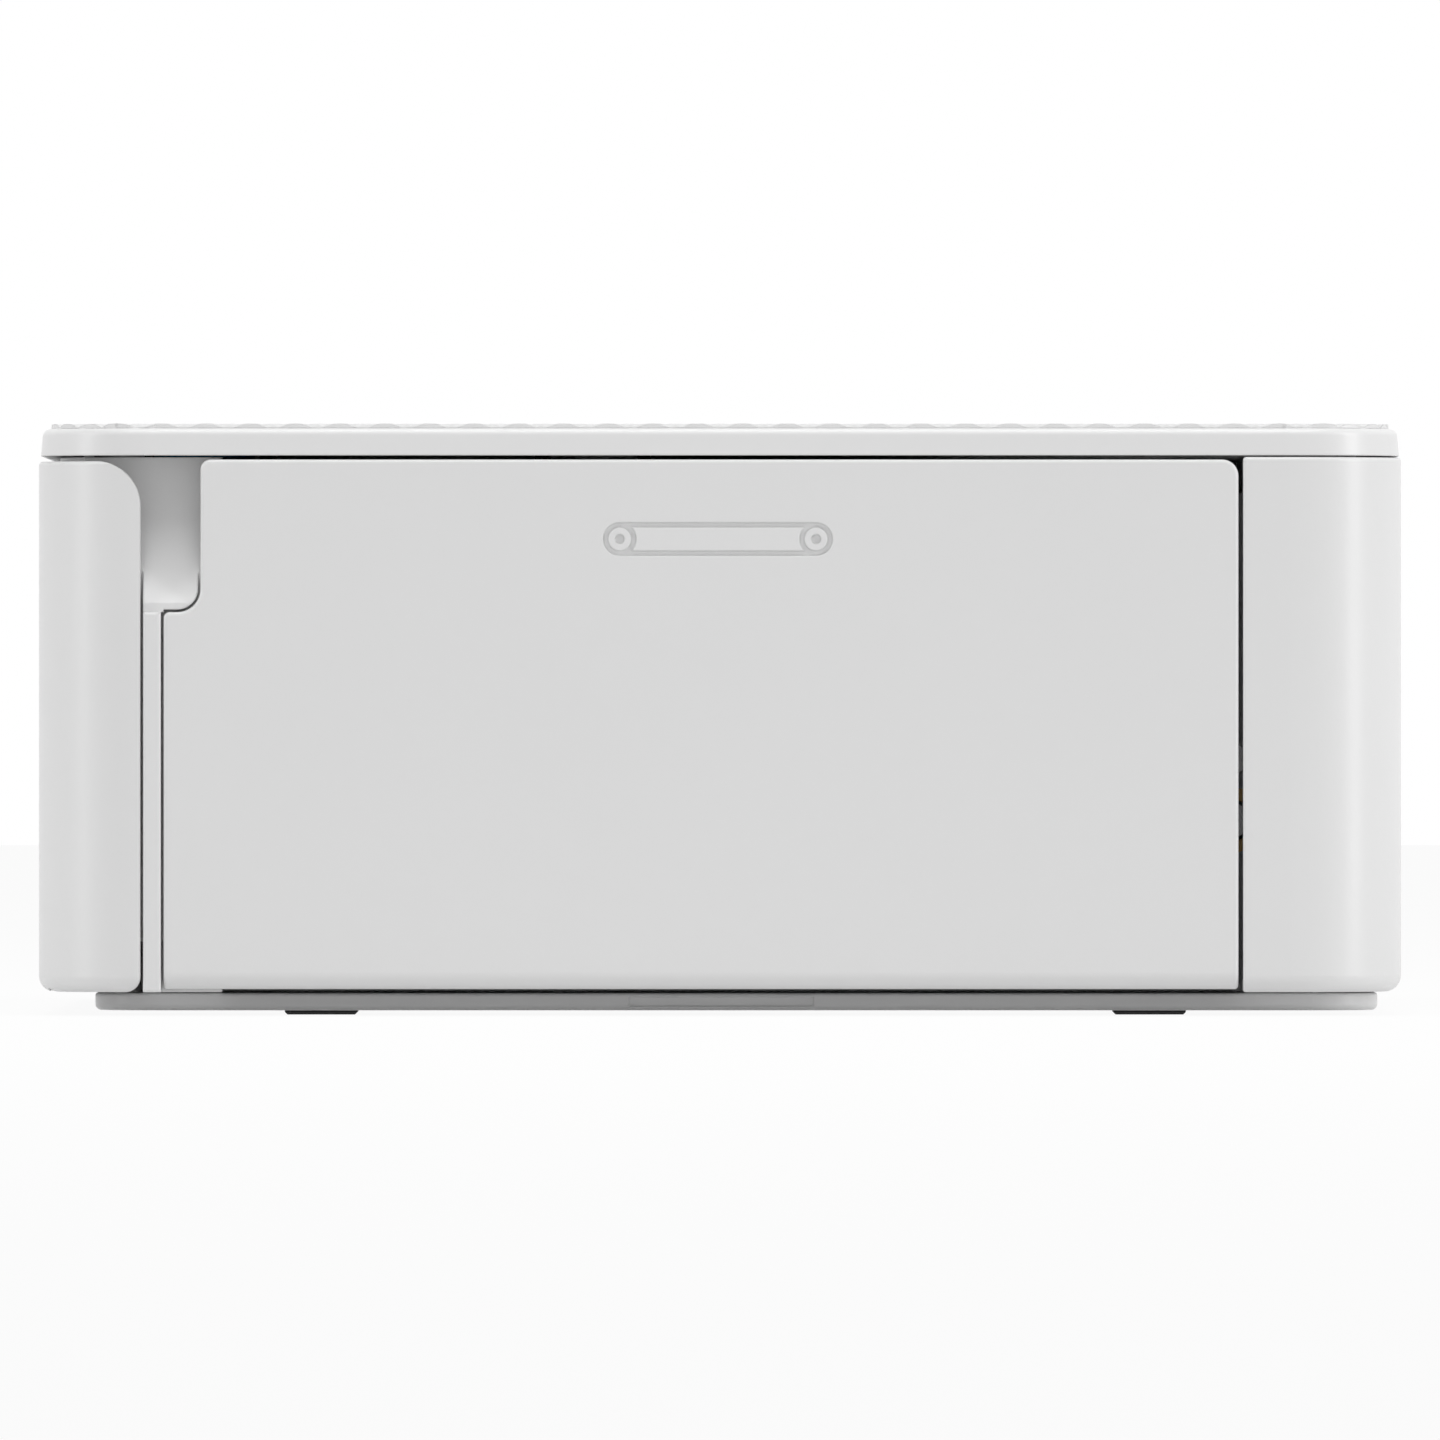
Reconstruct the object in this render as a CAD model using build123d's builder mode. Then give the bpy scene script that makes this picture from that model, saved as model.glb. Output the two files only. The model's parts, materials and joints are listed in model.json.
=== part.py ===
"""Compact photo printer: a white casing with a hinged front cover and a hinged side door,
round a dye ribbon cassette, a thermal head and the paper rollers.

Frame: +X to the printer's right (the side with the ink cassette door), +Y to its rear, +Z up.
The origin is the centre of the footprint, on the table. All sizes are in millimetres.
"""

from build123d import *
import math
import os

os.makedirs("parts", exist_ok=True)

# ---------------------------------------------------------------- overall sizes
width = 182.2                  # left to right
depth = 133.0                  # front to rear
height = 57.6                  # table to the highest point of the top
corner_radius = 11.0           # upright corners, seen from above
wall = 2.0                     # casing wall
bottom_round = 1.6             # rounding along the casing's lower edge
edge_round = 0.35              # rounding of the small visible edges
upright_round = 0.3            # rounding of the upright edges along the parting gaps

foot_height = 0.5              # what the rubber feet stand proud of the base
shell_bottom = 2.3             # lower edge of the casing walls
shell_top = height - 3.2       # upper edge of the casing walls
top_bottom = shell_top + 0.15  # lower edge of the top cover's rim
fit_gap = 0.05               # radial clearance of a pin or shaft that turns
seat_gap = 0.2                 # clearance of a part that drops into a pocket

half_width = width / 2
half_depth = depth / 2

# ---------------------------------------------------------------- front cover
cover_wall = 1.6               # thickness of the front cover
cover_top = shell_top - 0.4    # its upper edge, under an open gap
flank_depth = 10.1             # how far its flanks run back along the sides
flank_top_round = 4.4          # large corner beside the finger scoop
flank_bottom_round = 1.5       # small corner that clears the side when it swings
frame_inset = 2.1              # the inner frame lies this far behind the outer faces
frame_wall = 2.0
frame_bottom = 7.2             # lower edge of the inner frame, clear of the swinging cover
cover_pivot_y = -half_depth + 3.1
cover_pivot_z = 4.7
cover_pin_radius = 0.8
cover_lug_radius = 1.4
cover_lug_x = (half_width - 14.3, half_width - 11.1)   # the cover's hinge lug, on each side
ear_width = 2.4                # the frame's hinge ears beside the lug
lug_gap = 0.2                  # side play of the lug between its ears

flank_end = -half_depth + flank_depth
strip_front = flank_end + 0.25 # upright strip between the flank and the door
strip_width = 1.75
strip_top = shell_top - 15.1   # the scoop starts here

# ---------------------------------------------------------------- ink cassette door
door_front = strip_front + strip_width + 0.25
door_notch_edge = door_front + 3.6   # the door's edge beside the finger scoop
door_rear = half_depth - 16.05
door_gap = 0.45                # gap behind the door, which its swing needs
door_bottom = 2.6
door_top = shell_top - 0.25
door_wall = 2.0
door_notch_round = 2.25
door_pivot_x = half_width - 2.1
door_pivot_y = door_rear - 4.0
door_pin_radius = 0.8
door_lug_radius = 1.45
door_lug_height = 2.0
door_lug_low = 6.1             # underside of the door's lower hinge lug
door_lug_high = door_top - 2.55      # top of the door's upper hinge lug
column_front = door_rear + door_gap

# ---------------------------------------------------------------- top cover
rim_top = height - 0.4         # top of the plain rim
rim_round = 0.75               # rounding along the rim's upper edge
plateau_top = height - 0.35    # flat under the pillowed surface
plateau_inset = 1.3
field_top = height - 0.1       # the smooth field of the screen and the keys
field_round = 2.0
top_skin = 1.8                 # thickness of the top's plate
rim_inset = 0.2

# ---------------------------------------------------------------- screen and keys
panel_x = half_width - 41.1    # the screen and the keys are placed from this point
panel_y = -half_depth + 33.5
screen_size = (88.0, 56.0)     # glass
screen_centre = (panel_x - 30.0 - screen_size[0] / 2, panel_y)
screen_round = 3.0
glass_thickness = 1.2
display_margin = (6.0, 4.0)    # how much smaller the display panel is than the glass
panel_thickness = 2.6
nav_centre = (panel_x, panel_y + 2.0)
nav_radius = 12.0
nav_hole = 6.3                 # hole in the navigation ring
ok_radius = 5.9
round_key_radius = 3.6
power_centre = (panel_x + 26.0, panel_y + 20.5)
menu_centre = (panel_x - 20.0, panel_y + 20.5)
back_centre = (panel_x - 20.0, panel_y - 17.0)
print_centre = (panel_x + 21.0, panel_y - 17.5)
print_size = (15.0, 8.4)
field_x = (screen_centre[0] - screen_size[0] / 2 - 3.0, half_width - 7.1)
field_y = (panel_y - 29.5, panel_y + 29.5)
key_gap = 0.2                  # gap round each key
key_travel = 0.4
key_flange = 0.7               # what a key's hidden flange stands out
key_flange_thickness = 0.8
key_mat_top = height - 4.0     # top of the rubber mat under the keys
board_thickness = 1.2

# ---------------------------------------------------------------- base and feet
base_front = -half_depth + 5.5
base_rear = half_depth - 2.3
base_half_width = half_width - 5.1
base_top = 2.2
base_round = 6.5
foot_size = (8.0, 7.1)
foot_x = half_width - 19.1
foot_y = (-half_depth + 27.5, half_depth - 24.5)
foot_places = [(x, y) for x in (-foot_x, foot_x) for y in foot_y]
boss_x, boss_y = half_width - 10.6, half_depth - 8.1
boss_places = [(x, y) for x in (-boss_x, boss_x) for y in (-boss_y, boss_y)]
boss_radius = 2.2              # screw bosses from the top down to the base
boss_hole = 0.8
screw_length = 9.0
head_radius, head_height = 1.9, 0.8

# ---------------------------------------------------------------- ink bay behind the door
bay_face = half_width - 7.1    # outer face of the bay's panel
bay_wall = 2.0
bay_rear = door_rear - 0.15
bay_top = shell_top - 0.5
bracket_radius = 1.4           # knuckle of the panel's hinge brackets
bracket_height = 2.0
bracket_side = 0.4             # how far the bracket's arm reaches behind the pivot
lever_thickness = 1.4
stud_radius = 1.6              # studs for the lever and for the idler gears

# ---------------------------------------------------------------- finger scoop
scoop_radius = 30.0
scoop_height = shell_top + 1.5 # height of the scoop cylinder's axis
scoop_depth = 4.9              # depth at the strip
scoop_turn = -26.0             # the scoop gets shallower towards the door, degrees
scoop_gap = 0.25               # between the scoop's pad and the door's notch
pad_inset = 0.45               # the pad round the scoop lies this far behind the outer faces
lead_length = 4.4              # solid lead-in of the scoop behind the cover's large corner
lead_bottom = strip_top + 5.0
scoop_back = half_width - 8.1  # inner side of the block that holds it
scoop_end_y = strip_front + 7.65

# ---------------------------------------------------------------- mechanism
paper_centre_x = 6.0
left_plate_x = -half_width + 28.7    # inner faces of the two steel side plates
right_plate_x = bay_face - 12.0
plate_thickness = 1.2
plate_front = -56.0
plate_rear = 57.0
plate_bottom = base_top + fit_gap
plate_top = 51.0

gear_module = 0.6
big_teeth = 36
mid_teeth = 30
pinion_teeth = 14
gear_width = 4.0
gear_gap = 1.0                 # between the left plate and the gears
hub_radius = 2.6

shaft_radius = 2.0
bush_radius = 3.2
platen_y, platen_z, platen_radius = 7.0, 16.0, 6.0
roller_length = 102.0
capstan_radius = 3.0
pinch_radius = 3.0
pickup_radius = 9.0
pickup_length = 34.0
spool_z = 36.5
supply_y, takeup_y = -17.0, 31.0
spool_core_radius = 5.0
supply_roll_radius = 9.4
takeup_roll_radius = 5.2
cassette_radius = 12.5         # outside of the cassette's two round housings
cassette_wall = 1.4
cassette_left = left_plate_x + 1.6
cassette_right = bay_face - 8.0
lever_pivot = (supply_y - 20.0, spool_z)     # y, z of the cassette lever's stud

half_roller = roller_length / 2


def pitch(teeth):
    """Pitch radius of a gear."""
    return gear_module * teeth / 2


# ================================================================ casing
def outline(inset, mode=Mode.ADD):
    """The casing's rounded plan, drawn in from the outer faces by inset."""
    return RectangleRounded(width - 2 * inset, depth - 2 * inset, corner_radius - inset, mode=mode)


# Main shell: left side, rear and the rear right column in one piece.
vent_pitch = 4.0
vent_count = 14
vent_slot = (2.0, 11.0)
vent_centre = (-36.0, 15.5)    # x, z of the field of vent slots in the rear wall
slot_size = (108.0, 9.0)       # paper slot in the rear wall
slot_centre = (paper_centre_x, 31.5)
inlet_centre = (half_width - 29.1, 13.0)     # power inlet in the rear wall
inlet_radius = 4.2
port_centres = {"card": (-37.0, 10.6), "usb_a": (-36.0, 17.0), "usb_c": (-14.0, 15.6)}
port_sizes = {"card": (26.4, 3.6), "usb_a": (13.6, 6.2), "usb_c": (9.4, 3.6)}
port_rounds = {"card": 0.8, "usb_a": 0.9, "usb_c": 1.7}
rear_panel_depth = 0.25        # shallow recess round the rear openings
floor_width = 7.5              # flange inside the walls that rests on the base
floor_thickness = 1.2

with BuildPart() as main_shell:
    with BuildSketch(Plane.XY.offset(shell_bottom)):
        outline(0)
    extrude(amount=shell_top - shell_bottom)
    fillet(main_shell.edges().group_by(Axis.Z)[0], bottom_round)
    fillet(main_shell.edges().group_by(Axis.Z)[-1], edge_round)
    with BuildSketch(Plane.XY.offset(shell_bottom + floor_thickness)):
        outline(wall)
    extrude(amount=shell_top - shell_bottom, mode=Mode.SUBTRACT)
    with BuildSketch(Plane.XY.offset(shell_bottom)):
        outline(floor_width)
    extrude(amount=shell_top - shell_bottom, mode=Mode.SUBTRACT)
    # room for the front cover, and for the strip, the scoop and the door on the right
    with Locations((0, (strip_front - half_depth) / 2 - 1, height / 2)):
        Box(width + 2, half_depth + strip_front + 2, height + 2, mode=Mode.SUBTRACT)
    with Locations((half_width, column_front - 60, height / 2)):
        Box(2 * (floor_width + 1), 120, height + 2, mode=Mode.SUBTRACT)
    # room for the top's screw bosses through the floor flange
    with Locations(*[(x, y, shell_bottom) for x, y in boss_places if y > 0]):
        Cylinder(boss_radius + seat_gap, 4 * floor_thickness, mode=Mode.SUBTRACT)
    # rear wall: shallow panels, paper slot, vents and the power inlet
    with BuildSketch(Plane.XZ.offset(-half_depth)):
        with Locations(slot_centre):
            RectangleRounded(slot_size[0] + 14, 13.6, 2.0)
        with Locations((vent_centre[0], vent_centre[1] + 0.6)):
            RectangleRounded(vent_pitch * vent_count + 8, 14.8, 1.6)
    extrude(amount=rear_panel_depth, mode=Mode.SUBTRACT)
    with BuildSketch(Plane.XZ.offset(-half_depth)):
        with Locations(slot_centre):
            RectangleRounded(slot_size[0], slot_size[1], 1.2)
        with Locations(vent_centre):
            with GridLocations(vent_pitch, 1, vent_count, 1):
                RectangleRounded(vent_slot[0], vent_slot[1], 0.9)
        with Locations(inlet_centre):
            Circle(inlet_radius)
    extrude(amount=wall + 1, mode=Mode.SUBTRACT)
    # left side: card slot and two connectors
    with BuildSketch(Plane.YZ.offset(-half_width)):
        for port in port_centres:
            with Locations(port_centres[port]):
                RectangleRounded(*port_sizes[port], port_rounds[port])
    extrude(amount=wall + 1, mode=Mode.SUBTRACT)
    # the upright edges beside the door and beside the front cover's left flank
    upright = main_shell.edges().filter_by(Axis.Z)
    beside_door = upright.filter_by_position(Axis.Y, column_front - fit_gap, column_front + fit_gap)
    beside_cover = upright.filter_by_position(Axis.Y, strip_front - fit_gap, strip_front + fit_gap)
    fillet([beside_door.sort_by(Axis.X)[-1], beside_cover.sort_by(Axis.X)[0]], upright_round)
main_shell.part.label = "main_shell"

# Front frame: the inner front with the paper slot, the upright strip and the finger scoop.
paper_slot = (116.0, 26.0)
paper_slot_z = 22.0
frame_rear = strip_front + 3.65      # where the frame's left side wall ends

with BuildPart() as front_frame:
    with BuildSketch(Plane.XY.offset(frame_bottom)):
        outline(frame_inset)
        outline(frame_inset + frame_wall, mode=Mode.SUBTRACT)
    extrude(amount=shell_top - frame_bottom)
    with Locations((0, frame_rear + 70, height / 2)):
        Box(2 * scoop_back, 140, height + 2, mode=Mode.SUBTRACT)
    with Locations((half_width, scoop_end_y + 70, height / 2)):
        Box(2 * (half_width - scoop_back), 140, height + 2, mode=Mode.SUBTRACT)
    with Locations((-half_width, frame_rear + 70, height / 2)):
        Box(2 * (half_width - scoop_back), 140, height + 2, mode=Mode.SUBTRACT)
    # block behind the door's front edge, and the upright strip flush with the outer face
    back_face = half_width - door_wall - 0.4
    with Locations(((scoop_back + back_face) / 2, (strip_front + scoop_end_y) / 2,
                    (shell_bottom + shell_top) / 2)):
        Box(back_face - scoop_back, scoop_end_y - strip_front, shell_top - shell_bottom)
    with Locations(((scoop_back + half_width) / 2, strip_front + strip_width / 2,
                    (shell_bottom + strip_top) / 2)):
        Box(half_width - scoop_back, strip_width, strip_top - shell_bottom)
    with BuildSketch(Plane.XY.offset(lead_bottom)):
        outline(frame_inset)
        with Locations(((scoop_back + half_width) / 2, strip_front - lead_length / 2)):
            Rectangle(half_width - scoop_back, lead_length, mode=Mode.INTERSECT)
    extrude(amount=shell_top - lead_bottom)
    # pad that fills the door's notch, with the scoop hollowed into it
    with BuildSketch(Plane.YZ.offset(scoop_back)) as pad_view:
        with BuildLine():
            Polyline((strip_front, strip_top), (door_front, strip_top),
                     (door_front, strip_top + scoop_gap),
                     (door_notch_edge - scoop_gap, strip_top + scoop_gap),
                     (door_notch_edge - scoop_gap, shell_top), (strip_front, shell_top),
                     (strip_front, strip_top))
        make_face()
        fillet(pad_view.vertices().sort_by_distance((door_notch_edge, strip_top))[0],
               door_notch_round - scoop_gap)
    extrude(amount=half_width - pad_inset - scoop_back)
    with Locations(Location((half_width - scoop_depth + scoop_radius, strip_front, scoop_height),
                            (90, 0, scoop_turn))):
        Cylinder(scoop_radius, 60, mode=Mode.SUBTRACT)
    fillet(front_frame.edges().filter_by_position(Axis.X, half_width - fit_gap,
                                                  half_width + fit_gap), upright_round)
    # paper slot
    with BuildSketch(Plane.XZ.offset(half_depth)):
        with Locations((paper_centre_x, paper_slot_z)):
            RectangleRounded(paper_slot[0], paper_slot[1], 2.0)
    extrude(amount=-12, mode=Mode.SUBTRACT)
    # hinge ears that hang below the front wall, beside the cover's lugs
    for side in (-1, 1):
        for ear_start in (cover_lug_x[0] - lug_gap - ear_width, cover_lug_x[1] + lug_gap):
            ear_low = ear_start if side > 0 else -ear_start - ear_width
            with BuildSketch(Plane.YZ.offset(ear_low)):
                with Locations((cover_pivot_y, cover_pivot_z)):
                    Circle(cover_lug_radius)
                with Locations((cover_pivot_y + 0.2, (cover_pivot_z + frame_bottom + 1) / 2)):
                    Rectangle(2 * cover_lug_radius - 0.4, frame_bottom + 1 - cover_pivot_z)
                with Locations((cover_pivot_y, cover_pivot_z)):
                    Circle(cover_pin_radius, mode=Mode.SUBTRACT)
            extrude(amount=ear_width)
front_frame.part.label = "front_frame"


# Front cover: swings down on two pins, with flanks that wrap round the sides.
pocket_depth = 0.5             # thinner wall in front of the frame's ears
flank_height = cover_top - shell_bottom

with BuildPart() as front_cover:
    with BuildSketch(Plane.XY.offset(shell_bottom)):
        outline(0)
    extrude(amount=flank_height)
    fillet(front_cover.edges().group_by(Axis.Z)[0], bottom_round - 0.1)
    fillet(front_cover.edges().group_by(Axis.Z)[-1], edge_round)
    with BuildSketch(Plane.XY.offset(shell_bottom)):
        outline(cover_wall)
    extrude(amount=flank_height, mode=Mode.SUBTRACT)
    # the flanks' side view: large corner at the top, small one at the bottom
    with BuildSketch(Plane.YZ.offset(-width)) as flank_view:
        with Locations((flank_end - flank_depth, (shell_bottom + cover_top) / 2)):
            Rectangle(2 * flank_depth, flank_height)
        fillet(flank_view.vertices().sort_by_distance((flank_end, cover_top))[0], flank_top_round)
        fillet(flank_view.vertices().sort_by_distance((flank_end, shell_bottom))[0],
               flank_bottom_round)
    extrude(amount=2 * width, mode=Mode.INTERSECT)
    for side in (-1, 1):
        lug_middle = side * (cover_lug_x[0] + cover_lug_x[1]) / 2
        lug_width = cover_lug_x[1] - cover_lug_x[0]
        with Locations((lug_middle, -half_depth + cover_wall - pocket_depth + 0.9, 5.0)):
            Box(lug_width + 2 * ear_width + 2, 1.8, 7.0, mode=Mode.SUBTRACT)
        with BuildSketch(Plane.YZ.offset(lug_middle - lug_width / 2)):
            with Locations((cover_pivot_y, cover_pivot_z)):
                Circle(cover_lug_radius)
            with Locations((cover_pivot_y - 1.2, cover_pivot_z)):
                Rectangle(2.4, 2 * cover_lug_radius)
            with Locations((cover_pivot_y, cover_pivot_z)):
                Circle(cover_pin_radius + fit_gap, mode=Mode.SUBTRACT)
        extrude(amount=lug_width)
front_cover.part.label = "front_cover"

pin_length = cover_lug_x[1] - cover_lug_x[0] + 2 * (ear_width + lug_gap)
with BuildPart() as front_cover_hinge_pins:
    for side in (-1, 1):
        pin_middle = side * (cover_lug_x[0] + cover_lug_x[1]) / 2
        with Locations(Location((pin_middle, cover_pivot_y, cover_pivot_z), (0, 90, 0))):
            Cylinder(cover_pin_radius, pin_length)
front_cover_hinge_pins.part.label = "front_cover_hinge_pins"

# Ink cassette door: hinged at its rear edge, notched round the finger scoop.
mark_centre = (-0.2, door_top - 7.75)        # y, z of the debossed cassette sign
mark_size = (22.3, 3.2)
mark_depth = 0.25
mark_line = 0.45
door_inner = half_width - door_wall

with BuildPart() as ink_door:
    with BuildSketch(Plane.YZ.offset(door_inner)) as door_face:
        with BuildLine():
            Line((door_rear, door_bottom), (door_front, door_bottom))
            Line((door_front, door_bottom), (door_front, strip_top))
            Line((door_front, strip_top), (door_notch_edge - door_notch_round, strip_top))
            RadiusArc((door_notch_edge - door_notch_round, strip_top),
                      (door_notch_edge, strip_top + door_notch_round), -door_notch_round)
            Line((door_notch_edge, strip_top + door_notch_round), (door_notch_edge, door_top))
            Line((door_notch_edge, door_top), (door_rear, door_top))
            Line((door_rear, door_top), (door_rear, door_bottom))
        make_face()
        fillet(door_face.vertices().sort_by_distance((door_front, strip_top))[0], 0.6)
        fillet(door_face.vertices().sort_by_distance((door_rear, door_top))[0], 1.6)
        fillet(door_face.vertices().sort_by_distance((door_notch_edge, door_top))[0], 1.0)
    extrude(amount=door_wall)
    outer_edges = ink_door.faces().sort_by(Axis.X)[-1].edges()
    bottom_edge = outer_edges.sort_by(Axis.Z)[0]
    fillet(bottom_edge, bottom_round)
    fillet(ink_door.faces().sort_by(Axis.X)[-1].edges().sort_by(Axis.Z)[1:], edge_round)
    # recesses for the panel's hinge brackets, under an unbroken outer skin
    low_bracket = door_lug_low - 0.3 - bracket_height
    high_bracket = door_lug_high + 0.3
    for bracket_z in (low_bracket, high_bracket):
        with Locations((door_pivot_x + 1.6 - 4, (door_pivot_y - 1.8 + door_rear + 1) / 2,
                        bracket_z + bracket_height / 2)):
            Box(8, door_rear + 1 - door_pivot_y + 1.8, bracket_height + 0.6, mode=Mode.SUBTRACT)
    for lug_z in (door_lug_low, door_lug_high - door_lug_height):
        with Locations((door_pivot_x, door_pivot_y, lug_z + door_lug_height / 2)):
            Cylinder(door_lug_radius, door_lug_height)
            Cylinder(door_pin_radius + fit_gap, door_lug_height, mode=Mode.SUBTRACT)
    # debossed sign: two spools joined by a ribbon
    with BuildSketch(Plane.YZ.offset(half_width - mark_depth)):
        for end in (-1, 1):
            with Locations((mark_centre[0] + end * (mark_size[0] - mark_size[1]) / 2, mark_centre[1])):
                Circle(mark_size[1] / 2)
                Circle(mark_size[1] / 2 - mark_line, mode=Mode.SUBTRACT)
                Circle(mark_line)
        for level in (-1, 1):
            with Locations((mark_centre[0], mark_centre[1] + level * (mark_size[1] - mark_line) / 2)):
                Rectangle(mark_size[0] - mark_size[1], mark_line)
    extrude(amount=mark_depth, mode=Mode.SUBTRACT)
ink_door.part.label = "ink_door"

# Bay panel behind the door, with the cassette's opening and the door's hinge brackets.
bay_opening_round = 3.0
bay_opening = (supply_y - cassette_radius - 1.0, takeup_y + cassette_radius + 1.0)
bay_opening_z = (spool_z - cassette_radius - 1.0, spool_z + cassette_radius + 1.0)
bay_front = scoop_end_y + 0.2

with BuildPart() as ink_bay_panel:
    with BuildSketch(Plane.YZ.offset(bay_face - bay_wall)):
        with Locations(((bay_front + bay_rear) / 2, (door_bottom + bay_top) / 2)):
            Rectangle(bay_rear - bay_front, bay_top - door_bottom)
        with Locations((sum(bay_opening) / 2, sum(bay_opening_z) / 2)):
            RectangleRounded(bay_opening[1] - bay_opening[0], bay_opening_z[1] - bay_opening_z[0],
                             bay_opening_round, mode=Mode.SUBTRACT)
    extrude(amount=bay_wall)
    for bracket_z in (low_bracket, high_bracket):
        arm_length = door_pivot_x - bay_face + 1
        with Locations((bay_face - 1 + arm_length / 2,
                        door_pivot_y + (bracket_side - bracket_radius) / 2,
                        bracket_z + bracket_height / 2)):
            Box(arm_length, bracket_radius + bracket_side, bracket_height)
        with Locations((door_pivot_x, door_pivot_y, bracket_z + bracket_height / 2)):
            Cylinder(bracket_radius, bracket_height)
            Cylinder(door_pin_radius, bracket_height, mode=Mode.SUBTRACT)
    # stud with a head, for the lever that holds the cassette
    for stud_start, stud_length, radius in ((bay_face, lever_thickness + 2 * seat_gap, stud_radius),
                                            (bay_face + lever_thickness + 2 * seat_gap, 0.6, 2.4)):
        with BuildSketch(Plane.YZ.offset(stud_start)):
            with Locations(lever_pivot):
                Circle(radius)
        extrude(amount=stud_length)
ink_bay_panel.part.label = "ink_bay_panel"

with BuildPart() as ink_door_hinge_pins:
    for pin_low, pin_high in ((low_bracket, door_lug_low + door_lug_height),
                              (door_lug_high - door_lug_height, high_bracket + bracket_height)):
        with Locations((door_pivot_x, door_pivot_y, (pin_low + pin_high) / 2)):
            Cylinder(door_pin_radius, pin_high - pin_low)
ink_door_hinge_pins.part.label = "ink_door_hinge_pins"

# ================================================================ top, screen and keys
rim_draft = 5.0                # degrees that the rim leans in
skirt_inset = 4.4              # locating skirt inside the casing walls
skirt_wall = 1.2
skirt_depth = 2.0
plate_bottom_z = plateau_top - top_skin
display_size = (screen_size[0] - display_margin[0], screen_size[1] - display_margin[1])
round_keys = {"power_key": power_centre, "menu_key": menu_centre, "back_key": back_centre}

with BuildPart() as top_cover:
    with BuildSketch(Plane.XY.offset(top_bottom)):
        outline(rim_inset)
    extrude(amount=rim_top - top_bottom, taper=rim_draft)
    fillet(top_cover.edges().group_by(Axis.Z)[-1], rim_round)
    with BuildSketch(Plane.XY.offset(rim_top)):
        outline(plateau_inset)
    extrude(amount=plateau_top - rim_top)
    with BuildSketch(Plane.XY.offset(plateau_top)):
        with Locations((sum(field_x) / 2, sum(field_y) / 2)):
            RectangleRounded(field_x[1] - field_x[0], field_y[1] - field_y[0], field_round)
    extrude(amount=field_top - plateau_top)
    with BuildSketch(Plane.XY.offset(top_bottom)):
        outline(wall + rim_inset)
    extrude(amount=plate_bottom_z - top_bottom, mode=Mode.SUBTRACT)
    # locating skirt, left open on the door's side
    with BuildSketch(Plane.XY.offset(top_bottom - skirt_depth)):
        outline(skirt_inset)
        outline(skirt_inset + skirt_wall, mode=Mode.SUBTRACT)
        with Locations((half_width, (strip_front - lead_length + column_front) / 2)):
            Rectangle(24, column_front - strip_front + lead_length + 1, mode=Mode.SUBTRACT)
    extrude(amount=plate_bottom_z - top_bottom + skirt_depth)
    with BuildSketch(Plane.XY.offset(base_top + fit_gap)):
        with Locations(*boss_places):
            Circle(boss_radius)
    extrude(amount=plate_bottom_z - base_top - fit_gap)
    with BuildSketch(Plane.XY.offset(base_top + fit_gap)):
        with Locations(*boss_places):
            Circle(boss_hole)
    extrude(amount=screw_length + 1, mode=Mode.SUBTRACT)
    # seat for the glass, window for the display and holes for the keys
    with BuildSketch(Plane.XY.offset(field_top - glass_thickness)):
        with Locations(screen_centre):
            RectangleRounded(screen_size[0] + 2 * key_gap, screen_size[1] + 2 * key_gap,
                             screen_round + key_gap)
    extrude(amount=glass_thickness, mode=Mode.SUBTRACT)
    with BuildSketch(Plane.XY.offset(plate_bottom_z)):
        with Locations(screen_centre):
            Rectangle(display_size[0] + 2 * key_gap, display_size[1] + 2 * key_gap)
        with Locations(nav_centre):
            Circle(nav_radius + key_gap)
        with Locations(*round_keys.values()):
            Circle(round_key_radius + key_gap)
        with Locations(print_centre):
            SlotOverall(print_size[0] + 2 * key_gap, print_size[1] + 2 * key_gap)
    extrude(amount=field_top - plate_bottom_z, mode=Mode.SUBTRACT)
top_cover.part.label = "top_cover"

with BuildPart() as screen_glass:
    with BuildSketch(Plane.XY.offset(field_top - glass_thickness)):
        with Locations(screen_centre):
            RectangleRounded(screen_size[0], screen_size[1], screen_round)
    extrude(amount=glass_thickness)
    chamfer(screen_glass.edges().group_by(Axis.Z)[-1], 0.2)
screen_glass.part.label = "screen_glass"

display_top = field_top - glass_thickness - 0.05
with BuildPart() as display_panel:
    with Locations((screen_centre[0], screen_centre[1], display_top - panel_thickness / 2)):
        Box(display_size[0], display_size[1], panel_thickness)
display_panel.part.label = "display_panel"

# Keys: a cap through the plate, a flange under it and a stem down to the rubber mat.
cap_round = 0.4
flange_top = plate_bottom_z - key_gap
flange_bottom = flange_top - key_flange_thickness
stem_bottom = key_mat_top + key_travel + 0.1
stem_radius = 1.6

caps = []
for name, centre in round_keys.items():
    with BuildPart() as cap:
        with BuildSketch(Plane.XY.offset(flange_bottom)):
            with Locations(centre):
                Circle(round_key_radius)
        extrude(amount=height - flange_bottom)
        fillet(cap.edges().group_by(Axis.Z)[-1], cap_round)
        with BuildSketch(Plane.XY.offset(flange_bottom)):
            with Locations(centre):
                Circle(round_key_radius + key_flange)
        extrude(amount=key_flange_thickness)
        with BuildSketch(Plane.XY.offset(stem_bottom)):
            with Locations(centre):
                Circle(stem_radius)
        extrude(amount=flange_bottom - stem_bottom)
    cap.part.label = name
    caps.append(cap)

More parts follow.
